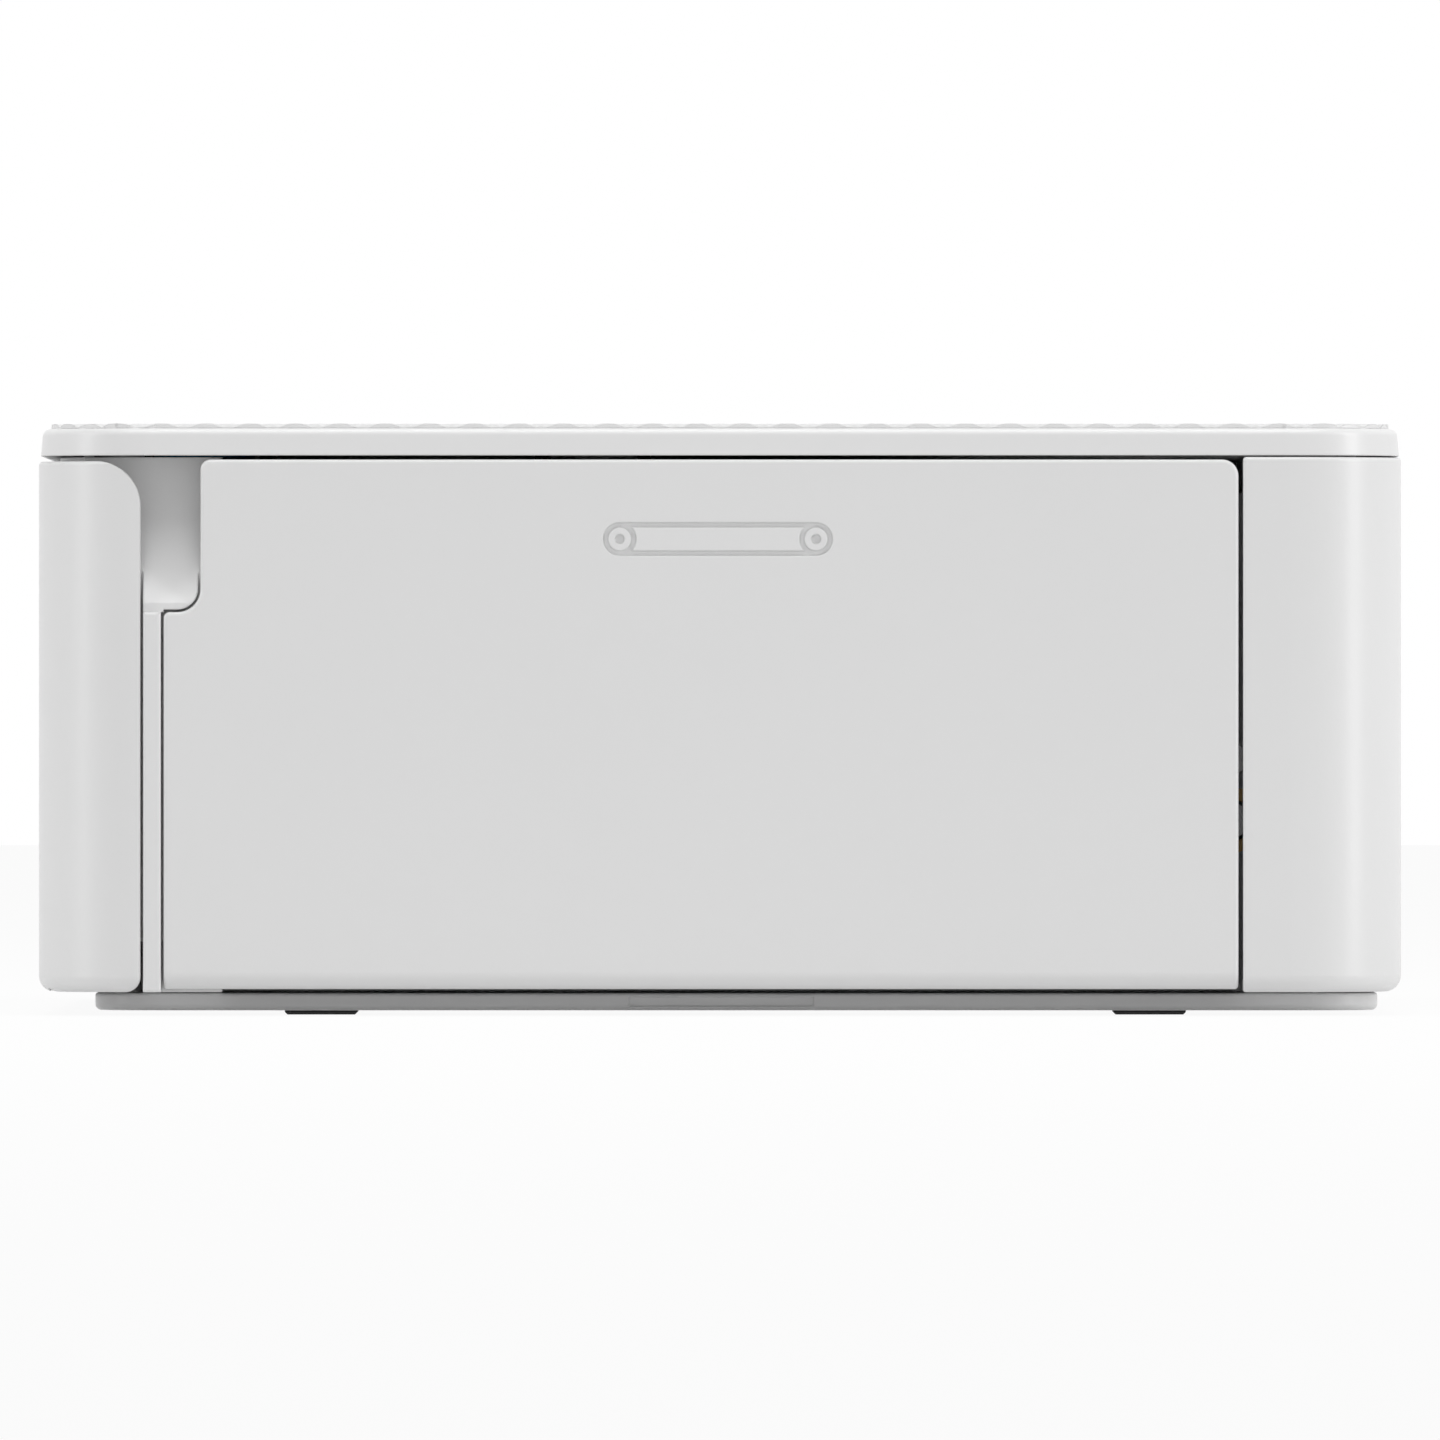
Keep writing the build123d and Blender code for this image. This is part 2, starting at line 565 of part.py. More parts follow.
with BuildPart() as print_key:
    with BuildSketch(Plane.XY.offset(flange_bottom)):
        with Locations(print_centre):
            SlotOverall(print_size[0], print_size[1])
    extrude(amount=height - flange_bottom)
    fillet(print_key.edges().group_by(Axis.Z)[-1], cap_round)
    with BuildSketch(Plane.XY.offset(flange_bottom)):
        with Locations(print_centre):
            SlotOverall(print_size[0] + 2 * key_flange, print_size[1] + 2 * key_flange)
    extrude(amount=key_flange_thickness)
    with BuildSketch(Plane.XY.offset(stem_bottom)):
        with Locations(print_centre):
            Circle(stem_radius)
    extrude(amount=flange_bottom - stem_bottom)
print_key.part.label = "print_key"

dish_depth = 0.5               # the navigation ring is dished between rim and hole
ok_top = height - 0.3          # top of the OK key and of the ring's inner edge
with BuildPart() as navigation_ring:
    with BuildSketch(Plane.XZ.offset(-nav_centre[1])):
        with BuildLine():
            Polyline((nav_centre[0] + nav_hole, flange_bottom),
                     (nav_centre[0] + nav_radius + key_flange, flange_bottom),
                     (nav_centre[0] + nav_radius + key_flange, flange_top),
                     (nav_centre[0] + nav_radius, flange_top),
                     (nav_centre[0] + nav_radius, height - cap_round),
                     (nav_centre[0] + nav_radius - cap_round, height))
            Spline((nav_centre[0] + nav_radius - cap_round, height),
                   (nav_centre[0] + (nav_radius + nav_hole) / 2, height - dish_depth),
                   (nav_centre[0] + nav_hole, ok_top))
            Line((nav_centre[0] + nav_hole, ok_top), (nav_centre[0] + nav_hole, flange_bottom))
        make_face()
    revolve(axis=Axis((nav_centre[0], nav_centre[1], 0), (0, 0, 1)))
    with BuildSketch(Plane.XY.offset(stem_bottom)):
        with Locations(nav_centre):
            with PolarLocations((nav_radius + nav_hole) / 2, 4):
                Circle(stem_radius)
    extrude(amount=flange_bottom - stem_bottom)
navigation_ring.part.label = "navigation_ring"

with BuildPart() as ok_key:
    with BuildSketch(Plane.XY.offset(stem_bottom)):
        with Locations(nav_centre):
            Circle(ok_radius)
    extrude(amount=ok_top - stem_bottom)
    fillet(ok_key.edges().group_by(Axis.Z)[-1], cap_round)
ok_key.part.label = "ok_key"

# Rubber mat under the stems, on the control board.
mat_thickness = 0.9
board_top = key_mat_top - mat_thickness
key_area = (58.0, 50.0)
key_area_centre = (panel_x + 1.5, panel_y + 2.5)
mat_margin = (4.0, 3.0)        # how much smaller the mat is than the board
chip_size = (12.0, 12.0, 1.6)
socket_size = (5.0, 20.0, 2.0) # socket of the flat cable at the board's left edge

with BuildPart() as key_mat:
    with Locations((key_area_centre[0], key_area_centre[1], board_top + mat_thickness / 2)):
        Box(key_area[0] - mat_margin[0], key_area[1] - mat_margin[1], mat_thickness)
key_mat.part.label = "key_mat"

with BuildPart() as control_board:
    with Locations((key_area_centre[0], key_area_centre[1], board_top - board_thickness / 2)):
        Box(key_area[0], key_area[1], board_thickness)
    with Locations((key_area_centre[0], key_area_centre[1] + 6,
                    board_top - board_thickness - chip_size[2] / 2)):
        Box(*chip_size)
    with Locations((key_area_centre[0] - 22, key_area_centre[1],
                    board_top - board_thickness - socket_size[2] / 2)):
        Box(*socket_size)
control_board.part.label = "control_board"

# ================================================================ base
rib_height, rib_wall = 3.0, 1.2
rib_end = 21.1                 # from the rear rib's ends to the sides of the casing
side_rib_length = 90.0
base_panel = (18.0, 0.9)       # shallow panel in the middle of the base's right edge
board_post_radius = 1.8
main_board_z = 5.2             # undersides of the circuit boards
port_board_z = 12.6
power_board_z = 6.8
main_board_x = (left_plate_x + 14.4, right_plate_x - 10.0)
main_board_y = (-52.0, -12.0)
port_back = -half_width + wall + 0.3         # the sockets start just inside the left wall
port_board_x = (port_back, left_plate_x - 7.1)
port_board_y = (-51.0, -8.0)
inlet_face = half_depth - wall - 0.1
power_board_centre = (inlet_centre[0] - 4.0, inlet_face - 13.9)
main_posts = [(x, y) for x in (main_board_x[0] + 4, main_board_x[1] - 4)
              for y in (main_board_y[0] + 4, main_board_y[1] - 4)]
port_posts = [(port_back + 9.8, port_board_y[1] - 3.0), (port_board_x[1] - 2.2, port_board_y[1] - 13.0)]
power_posts = [(power_board_centre[0] + side * 8, power_board_centre[1] - 7.5) for side in (-1, 1)]
board_posts = [(main_posts, main_board_z), (port_posts, port_board_z), (power_posts, power_board_z)]
screw_clearance = 0.2          # round a screw's shank and its head

with BuildPart() as base_tray:
    with BuildSketch(Plane.XY.offset(foot_height)):
        with Locations((0, (base_front + base_rear) / 2)):
            RectangleRounded(2 * base_half_width, base_rear - base_front, base_round)
    extrude(amount=base_top - foot_height)
    fillet(base_tray.edges().group_by(Axis.Z)[0], 0.6)
    fillet(base_tray.edges().group_by(Axis.Z)[-1], 0.3)
    with Locations((base_half_width, 0.1, (base_top + foot_height) / 2)):
        Box(0.4, base_panel[0], base_panel[1], mode=Mode.SUBTRACT)
    # locating ribs inside the shell's floor flange
    rib_inset = floor_width + seat_gap + rib_wall / 2
    with Locations((-half_width + rib_inset, 0, base_top + rib_height / 2)):
        Box(rib_wall, side_rib_length, rib_height)
    with Locations((0, half_depth - rib_inset, base_top + rib_height / 2)):
        Box(width - 2 * rib_end, rib_wall, rib_height)
    # posts under the circuit boards
    for posts, post_top in board_posts:
        with BuildSketch(Plane.XY.offset(base_top)):
            with Locations(*posts):
                Circle(board_post_radius)
        extrude(amount=post_top - base_top)
    # screw holes with counterbores, and seats for the feet
    with Locations(*[(x, y, foot_height) for x, y in boss_places]):
        Cylinder(boss_hole + 0.1 + screw_clearance, 4 * base_top, mode=Mode.SUBTRACT)
    with BuildSketch(Plane.XY.offset(foot_height)):
        with Locations(*boss_places):
            Circle(head_radius + screw_clearance)
    extrude(amount=head_height + 0.1, mode=Mode.SUBTRACT)
    with BuildSketch(Plane.XY.offset(foot_height)):
        with Locations(*foot_places):
            Rectangle(foot_size[0] + 2 * fit_gap, foot_size[1] + 2 * fit_gap)
    extrude(amount=foot_height, mode=Mode.SUBTRACT)
base_tray.part.label = "base_tray"

with BuildPart() as rubber_feet:
    for place in foot_places:
        with Locations((place[0], place[1], foot_height)):
            Box(foot_size[0], foot_size[1], 2 * foot_height)
    chamfer(rubber_feet.edges().group_by(Axis.Z)[0], 0.25)
rubber_feet.part.label = "rubber_feet"

with BuildPart() as casing_screws:
    for place in boss_places:
        with Locations((place[0], place[1], foot_height + 0.1 + head_height / 2)):
            Cylinder(head_radius, head_height)
        with Locations((place[0], place[1], foot_height + 0.1)):
            Cylinder(boss_hole, 0.4, align=(Align.CENTER, Align.CENTER, Align.MIN),
                     mode=Mode.SUBTRACT)
        with Locations((place[0], place[1], foot_height + 0.1 + head_height)):
            Cylinder(boss_hole, screw_length, align=(Align.CENTER, Align.CENTER, Align.MIN))
casing_screws.part.label = "casing_screws"


# ================================================================ drive train
platen = (platen_y, platen_z)
pinion_place = (2.5, 30.3)     # meshes with the platen's gear
capstan_place = (50.1, 19.0)
pinch_place = (capstan_place[0], capstan_place[1] + capstan_radius + pinch_radius)
pickup_place = (-46.75, 31.0)
takeup = (takeup_y, spool_z)
supply = (supply_y, spool_z)
ribbon_pinion_place = (43.4, 40.9)
gear_outer_x = left_plate_x - plate_thickness - gear_gap
second_layer = 4.8             # the ribbon drive's gears lie this much further out
tooth_share = 0.36             # tooth thickness at the pitch circle, as a share of the pitch
tip_share = 0.14
addendum, dedendum = 0.45, 0.70


def bearing(start, end):
    """Direction from one axis to another in the side view, in degrees."""
    return math.degrees(math.atan2(end[1] - start[1], end[0] - start[0]))


def between(start, end, distance):
    """Place at a distance from start on the line to end."""
    angle = math.radians(bearing(start, end))
    return (start[0] + distance * math.cos(angle), start[1] + distance * math.sin(angle))


def mesh_phase(phase, teeth, direction, next_teeth):
    """Phase of the next gear, so that its teeth stand in the first one's gaps."""
    return direction + 180 - (phase - direction) * teeth / next_teeth + 180 / next_teeth


def gear_points(teeth, phase):
    """Outline of a spur gear, tooth by tooth."""
    points = []
    step = 360 / teeth
    radius = pitch(teeth)
    for tooth in range(teeth):
        centre = phase + tooth * step
        for reach, share in ((-dedendum, -0.5), (-dedendum, -0.27), (addendum, -tip_share / 2),
                             (addendum, tip_share / 2), (-dedendum, 0.27)):
            angle = math.radians(centre + share * step)
            points.append(((radius + reach) * math.cos(angle), (radius + reach) * math.sin(angle)))
    return points


idler_a_place = between(platen, pickup_place, pitch(big_teeth) + pitch(mid_teeth))
idler_b_place = between(idler_a_place, pickup_place, 2 * pitch(mid_teeth))
idler_c_place = between(platen, capstan_place, 2 * pitch(big_teeth))
forward = bearing(platen, pickup_place)
rearward = bearing(platen, capstan_place)
phase_idler_a = mesh_phase(0, big_teeth, forward, mid_teeth)
phase_idler_b = mesh_phase(phase_idler_a, mid_teeth, forward, mid_teeth)
phase_pickup = mesh_phase(phase_idler_b, mid_teeth, forward, mid_teeth)
phase_idler_c = mesh_phase(0, big_teeth, rearward, big_teeth)
phase_capstan = mesh_phase(phase_idler_c, big_teeth, rearward, big_teeth)
phase_pinion = mesh_phase(0, big_teeth, bearing(platen, pinion_place), pinion_teeth)
phase_ribbon_pinion = mesh_phase(0, mid_teeth, bearing(takeup, ribbon_pinion_place), pinion_teeth)

motor_shaft_radius = 1.0
bush_flange = 4.2

# gear name: place, teeth, phase, bore radius, x of the face next to the plate
gears = {
    "platen_gear": (platen, big_teeth, 0, shaft_radius, gear_outer_x),
    "idler_gear_front": (idler_a_place, mid_teeth, phase_idler_a, stud_radius + fit_gap, gear_outer_x),
    "idler_gear_middle": (idler_b_place, mid_teeth, phase_idler_b, stud_radius + fit_gap, gear_outer_x),
    "pickup_gear": (pickup_place, mid_teeth, phase_pickup, shaft_radius, gear_outer_x),
    "idler_gear_rear": (idler_c_place, big_teeth, phase_idler_c, stud_radius + fit_gap, gear_outer_x),
    "capstan_gear": (capstan_place, big_teeth, phase_capstan, shaft_radius, gear_outer_x),
}
rim_web = 1.6                  # big gears are thinner between hub and rim
gear_nodes = []
for name, (place, teeth, phase, bore, face_x) in gears.items():
    with BuildPart() as gear:
        with BuildSketch(Plane.YZ.offset(face_x - gear_width)):
            with Locations(place):
                Polygon(*gear_points(teeth, phase), align=None)
                Circle(bore, mode=Mode.SUBTRACT)
        extrude(amount=gear_width)
        with BuildSketch(Plane.YZ.offset(face_x - gear_width)):
            with Locations(place):
                Circle(pitch(teeth) - 2.2)
                Circle(hub_radius + 1.0, mode=Mode.SUBTRACT)
        extrude(amount=(gear_width - rim_web) / 2, mode=Mode.SUBTRACT)
        with BuildSketch(Plane.YZ.offset(face_x - (gear_width - rim_web) / 2)):
            with Locations(place):
                Circle(pitch(teeth) - 2.2)
                Circle(hub_radius + 1.0, mode=Mode.SUBTRACT)
        extrude(amount=(gear_width - rim_web) / 2, mode=Mode.SUBTRACT)
    gear.part.label = name
    gear_nodes.append(gear)

# Motor pinions, each cut on the end of its motor's shaft.
feed_face_x = gear_outer_x - gear_width - 1.2        # faces of the two motors
ribbon_face_x = gear_outer_x - second_layer - gear_width - 1.2
pinions = {"feed_motor_pinion": (pinion_place, phase_pinion, gear_outer_x, feed_face_x),
           "ribbon_motor_pinion": (ribbon_pinion_place, phase_ribbon_pinion,
                                   gear_outer_x - second_layer, ribbon_face_x)}
shaft_in_motor = 8.0
for name, (place, phase, face_x, motor_x) in pinions.items():
    with BuildPart() as gear:
        with BuildSketch(Plane.YZ.offset(face_x - gear_width)):
            with Locations(place):
                Polygon(*gear_points(pinion_teeth, phase), align=None)
        extrude(amount=gear_width)
        with BuildSketch(Plane.YZ.offset(motor_x - shaft_in_motor)):
            with Locations(place):
                Circle(motor_shaft_radius)
        extrude(amount=shaft_in_motor + 2.0)
    gear.part.label = name
    gear_nodes.append(gear)

# Motors on flat mounting plates, held off the side plate by two posts each.
feed_motor_radius, feed_motor_length = 10.0, 17.8
ribbon_motor_radius, ribbon_motor_length = 6.0, 13.0
mount_thickness = 0.8
post_width = 3.6
motors = {"feed_motor": (pinion_place, feed_motor_radius, feed_motor_length, feed_face_x, 13.5, (60, 150)),
          "ribbon_motor": (ribbon_pinion_place, ribbon_motor_radius, ribbon_motor_length,
                           ribbon_face_x, 9.5, (60, -20))}
motor_nodes = []
for name, (place, radius, length, face_x, post_reach, post_angles) in motors.items():
    with BuildPart() as motor:
        with BuildSketch(Plane.YZ.offset(face_x - length)):
            with Locations(place):
                Circle(radius)
        extrude(amount=length)
        fillet(motor.edges().group_by(Axis.X)[0], 0.8)
        with BuildSketch(Plane.YZ.offset(face_x)):
            with Locations(place):
                Circle(radius)
            for angle in post_angles:
                post = (place[0] + post_reach * math.cos(math.radians(angle)),
                        place[1] + post_reach * math.sin(math.radians(angle)))
                with Locations(((place[0] + post[0]) / 2, (place[1] + post[1]) / 2)):
                    SlotCenterToCenter(post_reach, post_width + 1.6, rotation=angle)
            with Locations(place):
                Circle(motor_shaft_radius + fit_gap, mode=Mode.SUBTRACT)
        extrude(amount=mount_thickness)
        with BuildSketch(Plane.YZ.offset(face_x + mount_thickness)):
            for angle in post_angles:
                with Locations((place[0] + post_reach * math.cos(math.radians(angle)),
                                place[1] + post_reach * math.sin(math.radians(angle)))):
                    Circle(post_width / 2)
        extrude(amount=left_plate_x - plate_thickness - face_x - mount_thickness)
        with BuildSketch(Plane.YZ.offset(face_x - shaft_in_motor - 0.5)):
            with Locations(place):
                Circle(motor_shaft_radius + fit_gap)
        extrude(amount=shaft_in_motor + 2.0, mode=Mode.SUBTRACT)
    motor.part.label = name
    motor_nodes.append(motor)

# Take-up gear on its spindle, which reaches through the plate into the cassette's spool.
spindle_end = cassette_left + 6.0
with BuildPart() as takeup_gear:
    with BuildSketch(Plane.YZ.offset(gear_outer_x - second_layer - gear_width)):
        with Locations(takeup):
            Polygon(*gear_points(mid_teeth, 0), align=None)
    extrude(amount=gear_width)
    with BuildSketch(Plane.YZ.offset(gear_outer_x - second_layer)):
        with Locations(takeup):
            Circle(hub_radius)
    extrude(amount=second_layer - seat_gap)
    with BuildSketch(Plane.YZ.offset(gear_outer_x - second_layer)):
        with Locations(takeup):
            Circle(shaft_radius)
    extrude(amount=spindle_end - gear_outer_x + second_layer)
    chamfer(takeup_gear.edges().group_by(Axis.X)[-1], 0.5)
takeup_gear.part.label = "takeup_gear"

# Shafts and rollers.
shaft_left = gear_outer_x - gear_width - 0.4
shaft_right = right_plate_x + plate_thickness + 1.0
shaft_places = {"platen_shaft": platen, "capstan_roller": capstan_place, "pickup_shaft": pickup_place}
roller_nodes = []
for name, place in shaft_places.items():
    with BuildPart() as shaft:
        with BuildSketch(Plane.YZ.offset(shaft_left)):
            with Locations(place):
                Circle(shaft_radius)
        extrude(amount=shaft_right - shaft_left)
        chamfer(shaft.edges().group_by(Axis.X)[0], 0.3)
        chamfer(shaft.edges().group_by(Axis.X)[-1], 0.3)
        if name == "capstan_roller":
            with BuildSketch(Plane.YZ.offset(paper_centre_x - half_roller)):
                with Locations(place):
                    Circle(capstan_radius)
            extrude(amount=roller_length)
    shaft.part.label = name
    roller_nodes.append(shaft)

rollers = {"platen_roller": (platen, platen_radius, roller_length),
           "pickup_roller": (pickup_place, pickup_radius, pickup_length)}
for name, (place, radius, length) in rollers.items():
    with BuildPart() as roller:
        with BuildSketch(Plane.YZ.offset(paper_centre_x - length / 2)):
            with Locations(place):
                Circle(radius)
        extrude(amount=length)
        fillet(roller.edges().group_by(Axis.X)[0], 0.4)
        fillet(roller.edges().group_by(Axis.X)[-1], 0.4)
        with BuildSketch(Plane.YZ.offset(paper_centre_x - length / 2)):
            with Locations(place):
                Circle(shaft_radius)
        extrude(amount=length, mode=Mode.SUBTRACT)
    roller.part.label = name
    roller_nodes.append(roller)

pinch_shaft_radius = 1.5
with BuildPart() as pinch_roller:
    with BuildSketch(Plane.YZ.offset(left_plate_x - plate_thickness - 0.6)):
        with Locations(pinch_place):
            Circle(pinch_shaft_radius)
    extrude(amount=right_plate_x - left_plate_x + 2 * plate_thickness + 1.2)
    with BuildSketch(Plane.YZ.offset(paper_centre_x - half_roller)):
        with Locations(pinch_place):
            Circle(pinch_radius - 0.15)
    extrude(amount=roller_length)
pinch_roller.part.label = "pinch_roller"

bush_places = [(platen, side) for side in (0, 1)] + [(capstan_place, side) for side in (0, 1)]
bush_places += [(pickup_place, side) for side in (0, 1)] + [(takeup, 0)]
with BuildPart() as bearing_bushes:
    for place, side in bush_places:
        plate_x = right_plate_x if side else left_plate_x - plate_thickness
        inner_x = right_plate_x - 0.6 if side else left_plate_x
        with BuildSketch(Plane.YZ.offset(plate_x)):
            with Locations(place):
                Circle(bush_radius)
        extrude(amount=plate_thickness)
        with BuildSketch(Plane.YZ.offset(inner_x)):
            with Locations(place):
                Circle(bush_flange)
        extrude(amount=0.6)
        with BuildSketch(Plane.YZ.offset(plate_x - 1)):
            with Locations(place):
                Circle(shaft_radius + fit_gap)
        extrude(amount=plate_thickness + 2, mode=Mode.SUBTRACT)
bearing_bushes.part.label = "bearing_bushes"

# ================================================================ chassis
bay_clearance = 1.0            # round the cassette, in both openings it passes
flange_width = 8.0
beam_bottom = 49.4
beam_thickness = 1.2
beam_y = (-2.0, 16.0)
bracket_thickness = 1.2
bracket_x = (-47.4, 58.2)      # left faces of the two head brackets
bracket_y = (2.0, 12.0)
bracket_bottom = 30.0
head_pin_radius = 1.5
head_pin_z = 38.0
head_lift = 2.5


def plate_outline():
    """Side view of both side plates."""
    with Locations(((plate_front + plate_rear) / 2, (plate_bottom + plate_top) / 2)):
        RectangleRounded(plate_rear - plate_front, plate_top - plate_bottom, 2.0)


with BuildPart() as left_side_plate:
    with BuildSketch(Plane.YZ.offset(left_plate_x - plate_thickness)):
        plate_outline()
        with Locations(platen, capstan_place, pickup_place, takeup):
            Circle(bush_radius, mode=Mode.SUBTRACT)
        with Locations(pinch_place):
            Circle(pinch_shaft_radius + fit_gap, mode=Mode.SUBTRACT)
    extrude(amount=plate_thickness)
    with Locations((left_plate_x + flange_width / 2 - 0.5, 0, plate_bottom + plate_thickness / 2)):
        Box(flange_width + 1, 80, plate_thickness)
    for place in (idler_a_place, idler_b_place, idler_c_place):
        with BuildSketch(Plane.YZ.offset(gear_outer_x)):
            with Locations(place):
                Circle(hub_radius)
        extrude(amount=gear_gap)
        with BuildSketch(Plane.YZ.offset(gear_outer_x - gear_width - 0.1)):
            with Locations(place):
                Circle(stud_radius)
        extrude(amount=gear_width + 0.2)
        with BuildSketch(Plane.YZ.offset(gear_outer_x - gear_width - 0.7)):
            with Locations(place):
                Circle(hub_radius)
        extrude(amount=0.6)
left_side_plate.part.label = "left_side_plate"

with BuildPart() as right_side_plate:
    with BuildSketch(Plane.YZ.offset(right_plate_x)):
        plate_outline()
        with Locations(platen, capstan_place, pickup_place):
            Circle(bush_radius, mode=Mode.SUBTRACT)
        with Locations(pinch_place):
            Circle(pinch_shaft_radius + fit_gap, mode=Mode.SUBTRACT)
        with Locations((sum(bay_opening) / 2, (bay_opening_z[0] + beam_bottom) / 2)):
            RectangleRounded(bay_opening[1] - bay_opening[0], beam_bottom - bay_opening_z[0] + 0.2,
                             bay_opening_round, mode=Mode.SUBTRACT)
    extrude(amount=plate_thickness)
    with Locations((right_plate_x - flange_width / 2 + 0.5, 0, plate_bottom + plate_thickness / 2)):
        Box(flange_width + 1, 80, plate_thickness)
right_side_plate.part.label = "right_side_plate"

# Cross beam between the plates, with slotted brackets that guide the head.
with BuildPart() as cross_beam:
    with Locations(((left_plate_x + right_plate_x) / 2, sum(beam_y) / 2,
                    beam_bottom + beam_thickness / 2)):
        Box(right_plate_x - left_plate_x, beam_y[1] - beam_y[0], beam_thickness)
    for bracket_left in bracket_x:
        with BuildSketch(Plane.YZ.offset(bracket_left)):
            with Locations((sum(bracket_y) / 2, (bracket_bottom + beam_bottom) / 2)):
                Rectangle(bracket_y[1] - bracket_y[0], beam_bottom - bracket_bottom)
            with Locations((platen_y, head_pin_z + head_lift / 2)):
                SlotCenterToCenter(head_lift, 2 * (head_pin_radius + fit_gap), rotation=90,
                                   mode=Mode.SUBTRACT)
        extrude(amount=bracket_thickness)
cross_beam.part.label = "cross_beam"

# Paper guides: front and middle tables and the ramp up to the rear slot.
guide_top = 21.6
guide_thickness = 1.0
guide_left, guide_right = left_plate_x + 0.7, right_plate_x - 0.7
ramp = ((53.4, 20.8), (half_depth - 9.0, 25.4), (half_depth - 2.2, 28.2))
with BuildPart() as paper_guides:
    for table_front, table_rear in ((plate_front, 1.0), (13.2, 46.4)):
        with Locations(((guide_left + guide_right) / 2, (table_front + table_rear) / 2,
                        guide_top - guide_thickness / 2)):
            Box(guide_right - guide_left, table_rear - table_front, guide_thickness)
    with BuildSketch(Plane.YZ.offset(guide_left)):
        with BuildLine() as ramp_line:
            ThreePointArc(*ramp)
            offset(amount=guide_thickness, side=Side.RIGHT)
        make_face()
    extrude(amount=guide_right - guide_left)
paper_guides.part.label = "paper_guides"

# ================================================================ thermal head
film_height = 22.1             # underside of the film on the platen
film_thickness = 0.2
head_bottom = 22.5
head_x = (paper_centre_x - roller_length / 2, paper_centre_x + roller_length / 2)
head_plate = (6.6, 1.6)        # ceramic plate, y and z sizes
sink_y = (-0.5, 14.0)
sink_top = 34.2
fin_pitch, fin_gap, fin_count = 3.2, 1.6, 5
cheek_x = (-45.7, 57.7)
cheek_top = 41.0

with BuildPart() as thermal_head:
    with Locations(((head_x[0] + head_x[1]) / 2, platen_y, head_bottom + head_plate[1] / 2)):
        Box(head_x[1] - head_x[0], head_plate[0], head_plate[1])
    chamfer(thermal_head.edges().filter_by(Axis.X).group_by(Axis.Z)[0], 0.4)
thermal_head.part.label = "thermal_head"

sink_bottom = head_bottom + head_plate[1]
with BuildPart() as heat_sink:
    with Locations((sum(cheek_x) / 2, sum(sink_y) / 2, (sink_bottom + sink_top) / 2)):
        Box(cheek_x[1] - cheek_x[0], sink_y[1] - sink_y[0], sink_top - sink_bottom)
    with BuildSketch(Plane.YZ.offset(cheek_x[0])):
        with Locations((sum(sink_y) / 2, sink_top - 3.5)):
            with GridLocations(fin_pitch, 1, fin_count, 1):
                Rectangle(fin_gap, 7.0)
    extrude(amount=cheek_x[1] - cheek_x[0], mode=Mode.SUBTRACT)
    for cheek, outward in ((cheek_x[0], -1), (cheek_x[1], 1)):
        with Locations((cheek - outward * 0.6, platen_y, (sink_bottom + cheek_top) / 2)):
            Box(1.2, bracket_y[1] - bracket_y[0], cheek_top - sink_bottom)
        with Locations(Location((cheek + outward * 1.05, platen_y, head_pin_z), (0, 90, 0))):
            Cylinder(head_pin_radius, 2.1)
    # seats for the two springs
    with Locations((-20, platen_y, sink_top - 1.0), (32, platen_y, sink_top - 1.0)):
        Cylinder(4.0, 2.0)
heat_sink.part.label = "heat_sink"

spring_radius = 3.0
spring_wire = 0.35
spring_pitch = 3.6
spring_length = beam_bottom - sink_top - 2 * spring_wire - 0.1
with BuildPart() as head_springs:
    for spring_x in (-20, 32):
        with BuildLine(Location((spring_x, platen_y, sink_top + spring_wire + 0.05))) as coil:
            Helix(pitch=spring_pitch, height=spring_length, radius=spring_radius)
        with BuildSketch(Plane(origin=coil.line @ 0, z_dir=coil.line % 0)):
            Circle(spring_wire)
        sweep(path=coil.line)
head_springs.part.label = "head_springs"

# ================================================================ ribbon cassette
end_wall = 4.0                 # thickness of the cassette's end bridges
journal_radius = 4.0
spool_bore = 3.0
spool_gap = 0.3                # end play of a spool between the bridges
film_door = 40.0               # degrees of each housing left open for the film
film_angles = {supply: -65.0, takeup: -125.0}
handle_size = (4.0, 20.0, 6.0)
split_gap = 0.1
tube_left = cassette_left + end_wall
tube_right = cassette_right - end_wall

with BuildPart() as cassette_lower_shell:
    with BuildSketch(Plane.YZ.offset(tube_left)):
        for place, angle in film_angles.items():
            with Locations(place):
                Circle(cassette_radius)
                Circle(cassette_radius - cassette_wall, mode=Mode.SUBTRACT)
            reach = cassette_radius - cassette_wall / 2
            with Locations((place[0] + reach * math.cos(math.radians(angle)),
                            place[1] + reach * math.sin(math.radians(angle)))):
                Rectangle(6.0, 2 * cassette_radius * math.sin(math.radians(film_door / 2)),
                          rotation=angle, mode=Mode.SUBTRACT)
        with Locations((takeup_y / 2 + supply_y / 2, spool_z + cassette_radius)):
            Rectangle(100, 2 * cassette_radius, mode=Mode.SUBTRACT)
    extrude(amount=tube_right - tube_left)
    for wall_left in (cassette_left, tube_right):
        with BuildSketch(Plane.YZ.offset(wall_left)):
            with Locations(((supply_y + takeup_y) / 2, spool_z)):
                SlotCenterToCenter(takeup_y - supply_y, 2 * cassette_radius)
            with Locations(supply, takeup):
                Circle(journal_radius + fit_gap, mode=Mode.SUBTRACT)
        extrude(amount=end_wall)
    with Locations((cassette_right + handle_size[0] / 2, (supply_y + takeup_y) / 2, spool_z)):
        Box(*handle_size)
    fillet(cassette_lower_shell.faces().sort_by(Axis.X)[-1].edges(), 1.0)
cassette_lower_shell.part.label = "cassette_lower_shell"

